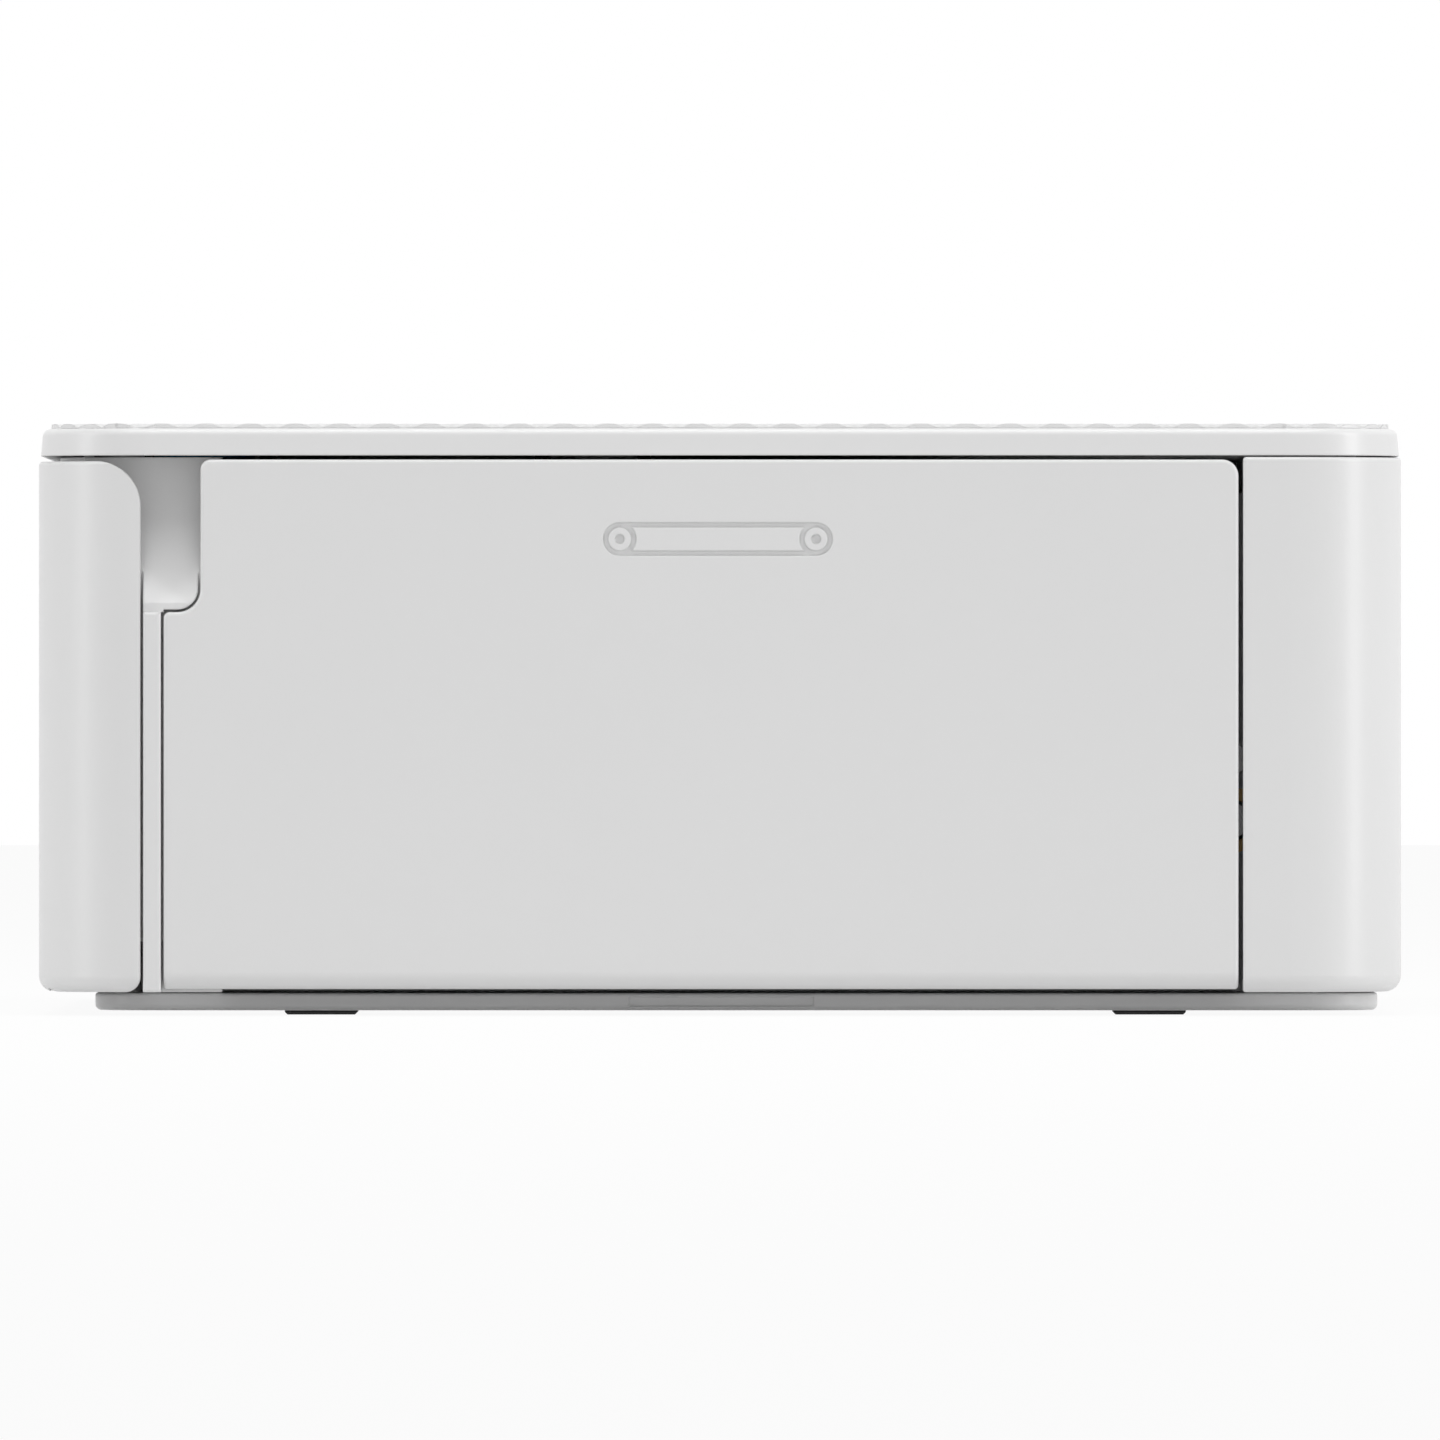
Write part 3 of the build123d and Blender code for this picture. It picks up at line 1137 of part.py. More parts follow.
with BuildPart() as cassette_upper_shell:
    with BuildSketch(Plane.YZ.offset(tube_left)):
        for place in film_angles:
            with Locations(place):
                Circle(cassette_radius)
                Circle(cassette_radius - cassette_wall, mode=Mode.SUBTRACT)
        with Locations((takeup_y / 2 + supply_y / 2, spool_z - cassette_radius + split_gap)):
            Rectangle(100, 2 * cassette_radius, mode=Mode.SUBTRACT)
    extrude(amount=tube_right - tube_left)
cassette_upper_shell.part.label = "cassette_upper_shell"

spool_nodes = []
for name, place in {"supply_spool": supply, "takeup_spool": takeup}.items():
    with BuildPart() as spool:
        with BuildSketch(Plane.YZ.offset(cassette_left + 0.4)):
            with Locations(place):
                Circle(journal_radius)
        extrude(amount=cassette_right - cassette_left - 0.8)
        with BuildSketch(Plane.YZ.offset(tube_left + spool_gap)):
            with Locations(place):
                Circle(spool_core_radius)
        extrude(amount=tube_right - tube_left - 2 * spool_gap)
        for flange_x in (head_x[0] - 1.8, head_x[1] + 0.6):
            with BuildSketch(Plane.YZ.offset(flange_x)):
                with Locations(place):
                    Circle(cassette_radius - cassette_wall - 0.7)
            extrude(amount=1.2)
        with BuildSketch(Plane.YZ.offset(cassette_left)):
            with Locations(place):
                Circle(spool_bore)
        extrude(amount=14.0, mode=Mode.SUBTRACT)
    spool.part.label = name
    spool_nodes.append(spool)

with BuildPart() as supply_film_roll:
    with BuildSketch(Plane.YZ.offset(head_x[0])):
        with Locations(supply):
            Circle(supply_roll_radius)
            Circle(spool_core_radius, mode=Mode.SUBTRACT)
    extrude(amount=head_x[1] - head_x[0])
supply_film_roll.part.label = "supply_film_roll"


def tangent_point(centre, radius, outside, side):
    """Where a line from an outside point touches a circle, on the chosen side."""
    reach = math.dist(centre, outside)
    angle = math.radians(bearing(centre, outside)) + side * math.acos(radius / reach)
    return (centre[0] + radius * math.cos(angle), centre[1] + radius * math.sin(angle))


flat_front, flat_rear = platen_y - 3.5, platen_y + 3.5
film_gap = 0.3                 # between the film and the rolls that turn
supply_touch = tangent_point(supply, supply_roll_radius + film_gap, (flat_front, film_height), -1)
takeup_touch = tangent_point(takeup, spool_core_radius + film_gap, (flat_rear, film_height), 1)
with BuildPart() as ribbon_film:
    with BuildSketch(Plane.YZ.offset(head_x[0] + 0.5)):
        with BuildLine() as film_line:
            Polyline(supply_touch, (flat_front, film_height), (flat_rear, film_height), takeup_touch)
            offset(amount=film_thickness, side=Side.LEFT)
        make_face()
    extrude(amount=head_x[1] - head_x[0] - 1.0)
ribbon_film.part.label = "ribbon_film"

# Lever on the bay panel that holds the cassette in.
lever_radius = 3.2
lever_reach = 9.6              # from the pivot to the end of the catch
lever_x = bay_face + seat_gap
with BuildPart() as eject_lever:
    with BuildSketch(Plane.YZ.offset(lever_x)):
        with Locations(lever_pivot):
            Circle(lever_radius)
        with Locations((lever_pivot[0] + lever_reach / 2, lever_pivot[1] + 0.5)):
            Rectangle(lever_reach, 4.0)
        with Locations((lever_pivot[0], lever_pivot[1] - 6.5)):
            SlotOverall(13.0, 4.6, rotation=90)
        with Locations(lever_pivot):
            Circle(stud_radius + fit_gap, mode=Mode.SUBTRACT)
    extrude(amount=lever_thickness)
    fillet(eject_lever.edges().filter_by(Axis.X), 0.5)
    with Locations((lever_x + lever_thickness + 0.6, lever_pivot[0], lever_pivot[1] - 10.6)):
        Box(1.2, 4.0, 1.6)
eject_lever.part.label = "eject_lever"

# ================================================================ electronics
main_board_middle = (sum(main_board_x) / 2, sum(main_board_y) / 2)
# chips and sockets on the main board: place from its middle, size
board_parts = [((-7, -2), (14, 14, 1.6)), ((-31, 2), (11, 8, 1.2)), ((15, -4), (10, 10, 1.4)),
               ((39, 8), (8, 12, 4.0)), ((-38, -12), (12, 4, 3.0)), ((23, 12), (20, 4, 2.6))]
can_places = [(41, -6), (31, -6)]
can_size = (3.0, 6.0)          # radius and height of the main board's capacitors
with BuildPart() as main_board:
    with Locations((*main_board_middle, main_board_z + board_thickness / 2)):
        Box(main_board_x[1] - main_board_x[0], main_board_y[1] - main_board_y[0], board_thickness)
    part_z = main_board_z + board_thickness
    for offset_xy, size in board_parts:
        with Locations((main_board_middle[0] + offset_xy[0], main_board_middle[1] + offset_xy[1],
                        part_z + size[2] / 2)):
            Box(*size)
    for offset_xy in can_places:
        with Locations((main_board_middle[0] + offset_xy[0], main_board_middle[1] + offset_xy[1],
                        part_z)):
            Cylinder(*can_size, align=(Align.CENTER, Align.CENTER, Align.MIN))
main_board.part.label = "main_board"

power_board_size = (24.0, 21.0)
power_can_size = (2.8, 4.5)
with BuildPart() as side_boards:
    with Locations((sum(port_board_x) / 2, sum(port_board_y) / 2,
                    port_board_z + board_thickness / 2)):
        Box(port_board_x[1] - port_board_x[0], port_board_y[1] - port_board_y[0], board_thickness)
    with Locations((*power_board_centre, power_board_z + board_thickness / 2)):
        Box(*power_board_size, board_thickness)
    with Locations((power_board_centre[0] - 6, power_board_centre[1] - 4.5,
                    power_board_z + board_thickness)):
        Cylinder(*power_can_size, align=(Align.CENTER, Align.CENTER, Align.MIN))
side_boards.part.label = "side_boards"

card_size = (21.0, port_sizes["card"][0] - 0.6, port_sizes["card"][1] - 0.1)
with BuildPart() as card_socket:
    with Locations((port_back + card_size[0] / 2, port_centres["card"][0], port_centres["card"][1])):
        Box(*card_size)
        with Locations((-2.0, 0, 0)):
            Box(card_size[0], card_size[1] - 1.6, 2.3, mode=Mode.SUBTRACT)
card_socket.part.label = "card_socket"

with BuildPart() as usb_sockets:
    for port, length, tongue in (("usb_a", 13.5, (-1.0, 1.8)), ("usb_c", 8.0, (0.0, 0.7))):
        port_y, port_z = port_centres[port]
        size_y, size_z = port_sizes[port][0] - 0.5, port_sizes[port][1] - 0.5
        with BuildSketch(Plane.YZ.offset(port_back)):
            with Locations((port_y, port_z)):
                RectangleRounded(size_y, size_z, port_rounds[port] - 0.3)
        extrude(amount=length)
        with BuildSketch(Plane.YZ.offset(port_back)):
            with Locations((port_y, port_z)):
                RectangleRounded(size_y - 0.8, size_z - 0.8, port_rounds[port] - 0.65)
        extrude(amount=length - 1.5, mode=Mode.SUBTRACT)
        with Locations((port_back + length / 2 + 0.5, port_y, port_z + tongue[0])):
            Box(length - 1.0, size_y - 2.4, tongue[1])
usb_sockets.part.label = "usb_sockets"

inlet_block = (10.0, 11.2, 10.0)
inlet_bore = 2.8
inlet_pin = 0.65
inlet_depth = 9.0
with BuildPart() as power_inlet:
    with Locations((inlet_centre[0], inlet_face - inlet_block[1] / 2, inlet_centre[1])):
        Box(*inlet_block)
    with BuildSketch(Plane.XZ.offset(-inlet_face)):
        with Locations(inlet_centre):
            Circle(inlet_bore)
            Circle(inlet_pin, mode=Mode.SUBTRACT)
    extrude(amount=inlet_depth, mode=Mode.SUBTRACT)
power_inlet.part.label = "power_inlet"

fan_centre = (vent_centre[0], 14.4)
fan_size = 18.0
fan_y = (half_depth - 9.3, half_depth - 2.3)
fan_bore = 8.3
fan_hub = 3.4
blade_count = 7
blade_reach = fan_bore - 0.5
with BuildPart() as fan_frame:
    with BuildSketch(Plane.XZ.offset(-fan_y[1])):
        with Locations(fan_centre):
            RectangleRounded(fan_size, fan_size, 1.6)
            Circle(fan_bore, mode=Mode.SUBTRACT)
    extrude(amount=fan_y[1] - fan_y[0])
    with BuildSketch(Plane.XZ.offset(-fan_y[0] - 0.8)):
        with Locations(fan_centre):
            Circle(fan_hub)
            with PolarLocations(0, 3, start_angle=90):
                with Locations((fan_bore / 2 + 0.3, 0)):
                    Rectangle(fan_bore + 0.6, 1.2)
    extrude(amount=0.8)
    with BuildSketch(Plane.XZ.offset(-fan_y[0] - 3.5)):
        with Locations(fan_centre):
            Circle(0.8)
    extrude(amount=3.5)
fan_frame.part.label = "fan_frame"

with BuildPart() as fan_rotor:
    with BuildSketch(Plane.XZ.offset(-fan_y[1] + 0.6)):
        with Locations(fan_centre):
            Circle(fan_hub)
            with PolarLocations(0, blade_count):
                with Locations(((fan_hub + blade_reach) / 2, 0)):
                    Rectangle(blade_reach - fan_hub + 0.8, 1.3, rotation=18)
    extrude(amount=fan_y[1] - fan_y[0] - 1.8)
    with BuildSketch(Plane.XZ.offset(-fan_y[0] - 3.7)):
        with Locations(fan_centre):
            Circle(0.85)
    extrude(amount=3.7, mode=Mode.SUBTRACT)
fan_rotor.part.label = "fan_rotor"

# One STEP file per piece, named by its label.
casing = [main_shell, front_frame, front_cover, front_cover_hinge_pins, ink_door, ink_bay_panel,
          ink_door_hinge_pins, top_cover, screen_glass, display_panel, *caps, print_key,
          navigation_ring, ok_key, key_mat, control_board, base_tray, rubber_feet, casing_screws]
drive = [*gear_nodes, *motor_nodes, takeup_gear, *roller_nodes, pinch_roller, bearing_bushes,
         left_side_plate, right_side_plate, cross_beam, paper_guides, thermal_head, heat_sink,
         head_springs]
inside = [cassette_lower_shell, cassette_upper_shell, *spool_nodes, supply_film_roll, ribbon_film,
          eject_lever, main_board, side_boards, card_socket, usb_sockets, power_inlet, fan_frame,
          fan_rotor]
for piece in casing + drive + inside:
    export_step(piece.part, f"parts/{piece.part.label}.step")
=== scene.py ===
"""A compact photo printer in Blender: finishes for every part of its frame, the pillowed skin of
its top, the springs over its thermal head, the printed signs on its keys, and a plain studio.

Everything is in metres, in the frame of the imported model: +X to the printer's right, the side with
the ribbon cassette door, +Y to its rear and +Z up.
"""

import json
import logging
import math
from dataclasses import dataclass
from enum import Enum

import bpy
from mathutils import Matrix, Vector


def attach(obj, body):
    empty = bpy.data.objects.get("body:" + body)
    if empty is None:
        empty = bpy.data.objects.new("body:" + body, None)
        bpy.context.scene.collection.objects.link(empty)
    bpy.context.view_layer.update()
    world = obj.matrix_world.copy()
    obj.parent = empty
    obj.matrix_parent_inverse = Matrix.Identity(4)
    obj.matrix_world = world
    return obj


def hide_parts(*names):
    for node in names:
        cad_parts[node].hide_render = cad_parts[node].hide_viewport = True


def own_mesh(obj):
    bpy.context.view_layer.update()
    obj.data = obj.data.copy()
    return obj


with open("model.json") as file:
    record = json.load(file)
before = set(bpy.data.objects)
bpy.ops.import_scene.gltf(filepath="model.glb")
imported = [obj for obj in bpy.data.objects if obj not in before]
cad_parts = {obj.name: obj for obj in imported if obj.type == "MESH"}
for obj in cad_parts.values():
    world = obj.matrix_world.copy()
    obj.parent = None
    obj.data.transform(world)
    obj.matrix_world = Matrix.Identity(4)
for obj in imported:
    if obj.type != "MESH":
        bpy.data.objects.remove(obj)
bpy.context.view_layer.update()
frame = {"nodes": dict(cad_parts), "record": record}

log = logging.getLogger("printer")
MM = 0.001


# ---------------------------------------------------------------- shader node groups
@dataclass
class NodeSheet:
    """A node tree under construction, with short calls to add and join its nodes."""

    tree: bpy.types.NodeTree

    def add(self, kind: str, **settings: object) -> bpy.types.Node:
        """Adds a node.

        Args:
            kind: The node's type, such as "ShaderNodeBump".
            settings: Properties of the node to set.

        Returns:
            The new node.
        """
        node = self.tree.nodes.new(kind)
        for name, value in settings.items():
            setattr(node, name, value)
        return node

    def join(self, source: bpy.types.NodeSocket, target: bpy.types.NodeSocket) -> None:
        """Links one socket to another."""
        self.tree.links.new(source, target)

    def maths(self, operation: str, *values: object) -> bpy.types.NodeSocket:
        """Adds a Math node.

        Args:
            operation: The node's operation, such as "MULTIPLY".
            values: Sockets or numbers for its inputs, in order.

        Returns:
            The node's output.
        """
        node = self.add("ShaderNodeMath", operation=operation)
        for socket, value in zip(node.inputs, values):
            if isinstance(value, bpy.types.NodeSocket):
                self.join(value, socket)
            else:
                socket.default_value = value
        return node.outputs[0]

    def texture(self, kind: str, place: bpy.types.NodeSocket, numbers: dict[str, float],
                **settings: object) -> bpy.types.Node:
        """Adds a texture.

        Args:
            kind: The texture's type, such as "ShaderNodeTexNoise".
            place: Coordinates to feed it.
            numbers: Names and values of its number inputs.
            settings: Properties of the node to set.

        Returns:
            The texture's node.
        """
        node = self.add(kind, **settings)
        self.join(place, node.inputs["Vector"])
        for name, value in numbers.items():
            node.inputs[name].default_value = value
        return node

    def blend(self, factor: bpy.types.NodeSocket, first: object,
              second: object) -> bpy.types.NodeSocket:
        """Mixes two colours.

        Args:
            factor: 0 gives the first and 1 the second.
            first: A colour or a socket.
            second: A colour or a socket.

        Returns:
            The mixed colour.
        """
        node = self.add("ShaderNodeMix", data_type="RGBA")
        self.join(factor, node.inputs["Factor"])
        for name, colour in (("A", first), ("B", second)):
            if isinstance(colour, bpy.types.NodeSocket):
                self.join(colour, node.inputs[name])
            else:
                node.inputs[name].default_value = colour
        return node.outputs["Result"]

    def spread(self, value: bpy.types.NodeSocket, low: float, high: float) -> bpy.types.NodeSocket:
        """Maps a value from the range 0 to 1 to another range.

        Args:
            value: The value to map.
            low: What 0 becomes.
            high: What 1 becomes.

        Returns:
            The mapped value.
        """
        node = self.add("ShaderNodeMapRange")
        self.join(value, node.inputs["Value"])
        node.inputs["To Min"].default_value = low
        node.inputs["To Max"].default_value = high
        return node.outputs["Result"]


class Effect(Enum):
    """The shader node groups that several finishes use."""

    GRAIN = "moulded grain"
    BRUSHED = "brushed lines"
    HANDLING = "handling marks"


class EffectShelf:
    """Builds each shared effect once, as a node group."""

    def __init__(self) -> None:
        """Builds all the groups."""
        self.groups: dict[Effect, bpy.types.NodeTree] = {
            Effect.GRAIN: self._grain(),
            Effect.BRUSHED: self._brushed(),
            Effect.HANDLING: self._handling(),
        }

    @staticmethod
    def _group(effect: Effect, inputs: dict[str, float],
               outputs: list[str]) -> tuple[NodeSheet, bpy.types.Node, bpy.types.Node]:
        """Starts a group with a Vector input, named number inputs and number outputs.

        Args:
            effect: The effect that the group makes.
            inputs: Names and starting values of the number inputs.
            outputs: Names of the number outputs.

        Returns:
            The sheet, the input node and the output node.
        """
        tree = bpy.data.node_groups.new(effect.value, "ShaderNodeTree")
        tree.interface.new_socket("Vector", in_out="INPUT", socket_type="NodeSocketVector")
        for name, value in inputs.items():
            socket = tree.interface.new_socket(name, in_out="INPUT", socket_type="NodeSocketFloat")
            socket.default_value = value
        for name in outputs:
            tree.interface.new_socket(name, in_out="OUTPUT", socket_type="NodeSocketFloat")
        sheet = NodeSheet(tree)
        return sheet, sheet.add("NodeGroupInput"), sheet.add("NodeGroupOutput")

    def _grain(self) -> bpy.types.NodeTree:
        """Fine texture that a spark-eroded mould leaves on plastic."""
        sheet, given, result = self._group(Effect.GRAIN, {"Scale": 3000.0}, ["Height", "Mottle"])
        pit_spacing, pit_depth = 0.6, 0.5
        place, scale = given.outputs["Vector"], given.outputs["Scale"]
        fine = sheet.texture("ShaderNodeTexNoise", place, {"Detail": 3.0, "Roughness": 0.6})
        pits = sheet.texture("ShaderNodeTexVoronoi", place, {}, feature="SMOOTH_F1")
        cloud = sheet.texture("ShaderNodeTexNoise", place, {"Scale": 45.0, "Detail": 2.0})
        sheet.join(scale, fine.inputs["Scale"])
        sheet.join(sheet.maths("MULTIPLY", scale, pit_spacing), pits.inputs["Scale"])
        height = sheet.maths("ADD", fine.outputs["Fac"],
                             sheet.maths("MULTIPLY", pits.outputs["Distance"], pit_depth))
        sheet.join(height, result.inputs["Height"])
        sheet.join(cloud.outputs["Fac"], result.inputs["Mottle"])
        return sheet.tree

    def _brushed(self) -> bpy.types.NodeTree:
        """Fine lines along X, with their own scales across and along it."""
        sheet, given, result = self._group(Effect.BRUSHED, {"Across": 4000.0, "Along": 60.0},
                                           ["Lines", "Stain"])
        stretch = sheet.add("ShaderNodeCombineXYZ")
        sheet.join(given.outputs["Along"], stretch.inputs["X"])
        sheet.join(given.outputs["Across"], stretch.inputs["Y"])
        sheet.join(given.outputs["Across"], stretch.inputs["Z"])
        scaled = sheet.add("ShaderNodeVectorMath", operation="MULTIPLY")
        sheet.join(given.outputs["Vector"], scaled.inputs[0])
        sheet.join(stretch.outputs["Vector"], scaled.inputs[1])
        lines = sheet.texture("ShaderNodeTexNoise", scaled.outputs["Vector"],
                              {"Scale": 1.0, "Detail": 4.0})
        stain = sheet.texture("ShaderNodeTexNoise", given.outputs["Vector"], {"Scale": 90.0})
        sheet.join(lines.outputs["Fac"], result.inputs["Lines"])
        sheet.join(stain.outputs["Fac"], result.inputs["Stain"])
        return sheet.tree

    def _handling(self) -> bpy.types.NodeTree:
        """Soft smudges that vary how glossy a handled surface is."""
        sheet, given, result = self._group(Effect.HANDLING, {"Scale": 28.0}, ["Smudge"])
        smudge = sheet.texture("ShaderNodeTexNoise", given.outputs["Vector"],
                               {"Detail": 4.0, "Distortion": 0.6})
        sheet.join(given.outputs["Scale"], smudge.inputs["Scale"])
        sheet.join(smudge.outputs["Fac"], result.inputs["Smudge"])
        return sheet.tree


# ---------------------------------------------------------------- finishes
Colour = tuple[float, float, float]


def tinted(colour: Colour, share: float = 1.0) -> tuple[float, float, float, float]:
    """Returns a colour with full alpha, made lighter or darker by a share."""
    return tuple(min(1.0, max(0.0, channel * share)) for channel in colour) + (1.0,)


@dataclass(frozen=True)
class Finish:
    """One finish of the printer. Its colour is linear."""

    colour: Colour
    roughness: float = 0.5
    metallic: float = 0.0
    variation: float = 0.03

    def start(self, name: str) -> tuple[NodeSheet, bpy.types.Node, bpy.types.NodeSocket]:
        """Starts a material.

        Args:
            name: The material's name.

        Returns:
            Its sheet, its Principled BSDF and the object's coordinates.
        """
        material = bpy.data.materials.new(name)
        material.use_nodes = True
        sheet = NodeSheet(material.node_tree)
        shader = material.node_tree.nodes["Principled BSDF"]
        shader.inputs["Metallic"].default_value = self.metallic
        shader.inputs["Roughness"].default_value = self.roughness
        place = sheet.add("ShaderNodeTexCoord").outputs["Object"]
        return sheet, shader, place

    def effect(self, sheet: NodeSheet, shelf: EffectShelf, effect: Effect,
               place: bpy.types.NodeSocket, **values: float) -> bpy.types.Node:
        """Places a shared effect in a material.

        Args:
            sheet: The material's sheet.
            shelf: Where the groups are kept.
            effect: Which group to place.
            place: Coordinates to feed it.
            values: Its number inputs.

        Returns:
            The group's node.
        """
        node = sheet.add("ShaderNodeGroup", node_tree=shelf.groups[effect])
        sheet.join(place, node.inputs["Vector"])
        for name, value in values.items():
            node.inputs[name.capitalize()].default_value = value
        return node

    def colour_by(self, sheet: NodeSheet, shader: bpy.types.Node,
                  amount: bpy.types.NodeSocket) -> None:
        """Varies the base colour a little.

        Args:
            sheet: The material's sheet.
            shader: Its Principled BSDF.
            amount: A value from 0, darker, to 1, lighter.
        """
        sheet.join(sheet.blend(amount, tinted(self.colour, 1 - self.variation),
                               tinted(self.colour, 1 + self.variation)),
                   shader.inputs["Base Color"])

    def bump_by(self, sheet: NodeSheet, shader: bpy.types.Node, height: bpy.types.NodeSocket,
                depth: float) -> bpy.types.Node:
        """Adds a bump.

        Args:
            sheet: The material's sheet.
            shader: Its Principled BSDF.
            height: A height from 0 to 1.
            depth: How deep the bump is, in metres.

        Returns:
            The bump's node.
        """
        bump = sheet.add("ShaderNodeBump")
        bump.inputs["Distance"].default_value = depth
        sheet.join(height, bump.inputs["Height"])
        sheet.join(bump.outputs["Normal"], shader.inputs["Normal"])
        return bump

    def build(self, name: str, shelf: EffectShelf) -> bpy.types.Material:
        """Builds the material; each kind of finish does this in its own way.

        Args:
            name: The material's name.
            shelf: Where the shared effects are kept.

        Returns:
            The material.
        """
        raise NotImplementedError


@dataclass(frozen=True)
class MouldedPlastic(Finish):
    """Injection-moulded plastic with a fine grain and slightly uneven gloss."""

    grain_scale: float = 3200.0
    grain_depth: float = 4e-6
    gloss_spread: float = 0.08
    translucency: float = 0.0
    glow_reach: tuple[float, float, float] = (1.2 * MM, 1.1 * MM, 1.0 * MM)
    edge_radius: float = 0.0
    edge_samples: int = 6

    def build(self, name: str, shelf: EffectShelf) -> bpy.types.Material:
        """Builds the material from the grain and the handling marks.

        Args:
            name: The material's name.
            shelf: Where the shared effects are kept.

        Returns:
            The material.
        """
        sheet, shader, place = self.start(name)
        grain = self.effect(sheet, shelf, Effect.GRAIN, place, scale=self.grain_scale)
        marks = self.effect(sheet, shelf, Effect.HANDLING, place)
        self.colour_by(sheet, shader, grain.outputs["Mottle"])
        gloss = sheet.spread(marks.outputs["Smudge"], self.roughness - self.gloss_spread,
                             self.roughness + self.gloss_spread)
        sheet.join(gloss, shader.inputs["Roughness"])
        bump = self.bump_by(sheet, shader, grain.outputs["Height"], self.grain_depth)
        if self.edge_radius:
            worn_edge = sheet.add("ShaderNodeBevel", samples=self.edge_samples)
            worn_edge.inputs["Radius"].default_value = self.edge_radius
            sheet.join(worn_edge.outputs["Normal"], bump.inputs["Normal"])
        shader.inputs["Subsurface Weight"].default_value = self.translucency
        shader.inputs["Subsurface Radius"].default_value = self.glow_reach
        return bpy.data.materials[name]


@dataclass(frozen=True)
class DisplayFace(Finish):
    """A switched-off display: its picture area is a little lighter than its black border."""

    roughness: float = 0.25
    centre: tuple[float, float] = (-24.0 * MM, -33.0 * MM)
    picture: tuple[float, float] = (76.0 * MM, 45.0 * MM)
    border: Colour = (0.003, 0.003, 0.0035)
    variation: float = 0.1
    row_scale: float = 1600.0

    def build(self, name: str, shelf: EffectShelf) -> bpy.types.Material:
        """Builds the material from a mask of the picture area and its rows of pixels.

        Args:
            name: The material's name.
            shelf: Where the shared effects are kept.

        Returns:
            The material.
        """
        sheet, shader, place = self.start(name)
        axes = sheet.add("ShaderNodeSeparateXYZ")
        sheet.join(place, axes.inputs["Vector"])
        inside = []
        for axis, centre, size in zip("XY", self.centre, self.picture):
            reach = sheet.maths("ABSOLUTE", sheet.maths("SUBTRACT", axes.outputs[axis], centre))
            inside.append(sheet.maths("LESS_THAN", reach, size / 2))
        rows = sheet.texture("ShaderNodeTexWave", place, {"Scale": self.row_scale},
                             bands_direction="Y")
        picture = sheet.blend(rows.outputs["Fac"], tinted(self.colour, 1 - self.variation),
                              tinted(self.colour, 1 + self.variation))
        face = sheet.blend(sheet.maths("MULTIPLY", *inside), tinted(self.border), picture)
        sheet.join(face, shader.inputs["Base Color"])
        return bpy.data.materials[name]


@dataclass(frozen=True)
class BrushedMetal(Finish):
    """Sheet or bar metal with lines along its rolling direction."""

    metallic: float = 1.0
    across: float = 4000.0
    along: float = 60.0
    line_depth: float = 2e-6
    gloss_spread: float = 0.1

    def build(self, name: str, shelf: EffectShelf) -> bpy.types.Material:
        """Builds the material from the brushed lines.

        Args:
            name: The material's name.
            shelf: Where the shared effects are kept.

        Returns:
            The material.
        """
        sheet, shader, place = self.start(name)
        lines = self.effect(sheet, shelf, Effect.BRUSHED, place, across=self.across,
                            along=self.along)
        self.colour_by(sheet, shader, lines.outputs["Stain"])
        gloss = sheet.spread(lines.outputs["Lines"], self.roughness - self.gloss_spread,
                             self.roughness + self.gloss_spread)
        sheet.join(gloss, shader.inputs["Roughness"])
        self.bump_by(sheet, shader, lines.outputs["Lines"], self.line_depth)
        return bpy.data.materials[name]


@dataclass(frozen=True)
class Rubber(Finish):
    """Matt rubber with a fine grain and a light bloom of dust."""

    roughness: float = 0.8
    grain_scale: float = 1800.0
    grain_depth: float = 1.5e-5
    bloom: float = 0.15

    def build(self, name: str, shelf: EffectShelf) -> bpy.types.Material:
        """Builds the material from a coarse grain.

        Args:
            name: The material's name.
            shelf: Where the shared effects are kept.

        Returns:
            The material.
        """
        sheet, shader, place = self.start(name)
        grain = self.effect(sheet, shelf, Effect.GRAIN, place, scale=self.grain_scale)
        self.colour_by(sheet, shader, grain.outputs["Mottle"])
        self.bump_by(sheet, shader, grain.outputs["Height"], self.grain_depth)
        shader.inputs["Sheen Weight"].default_value = self.bloom
        return bpy.data.materials[name]


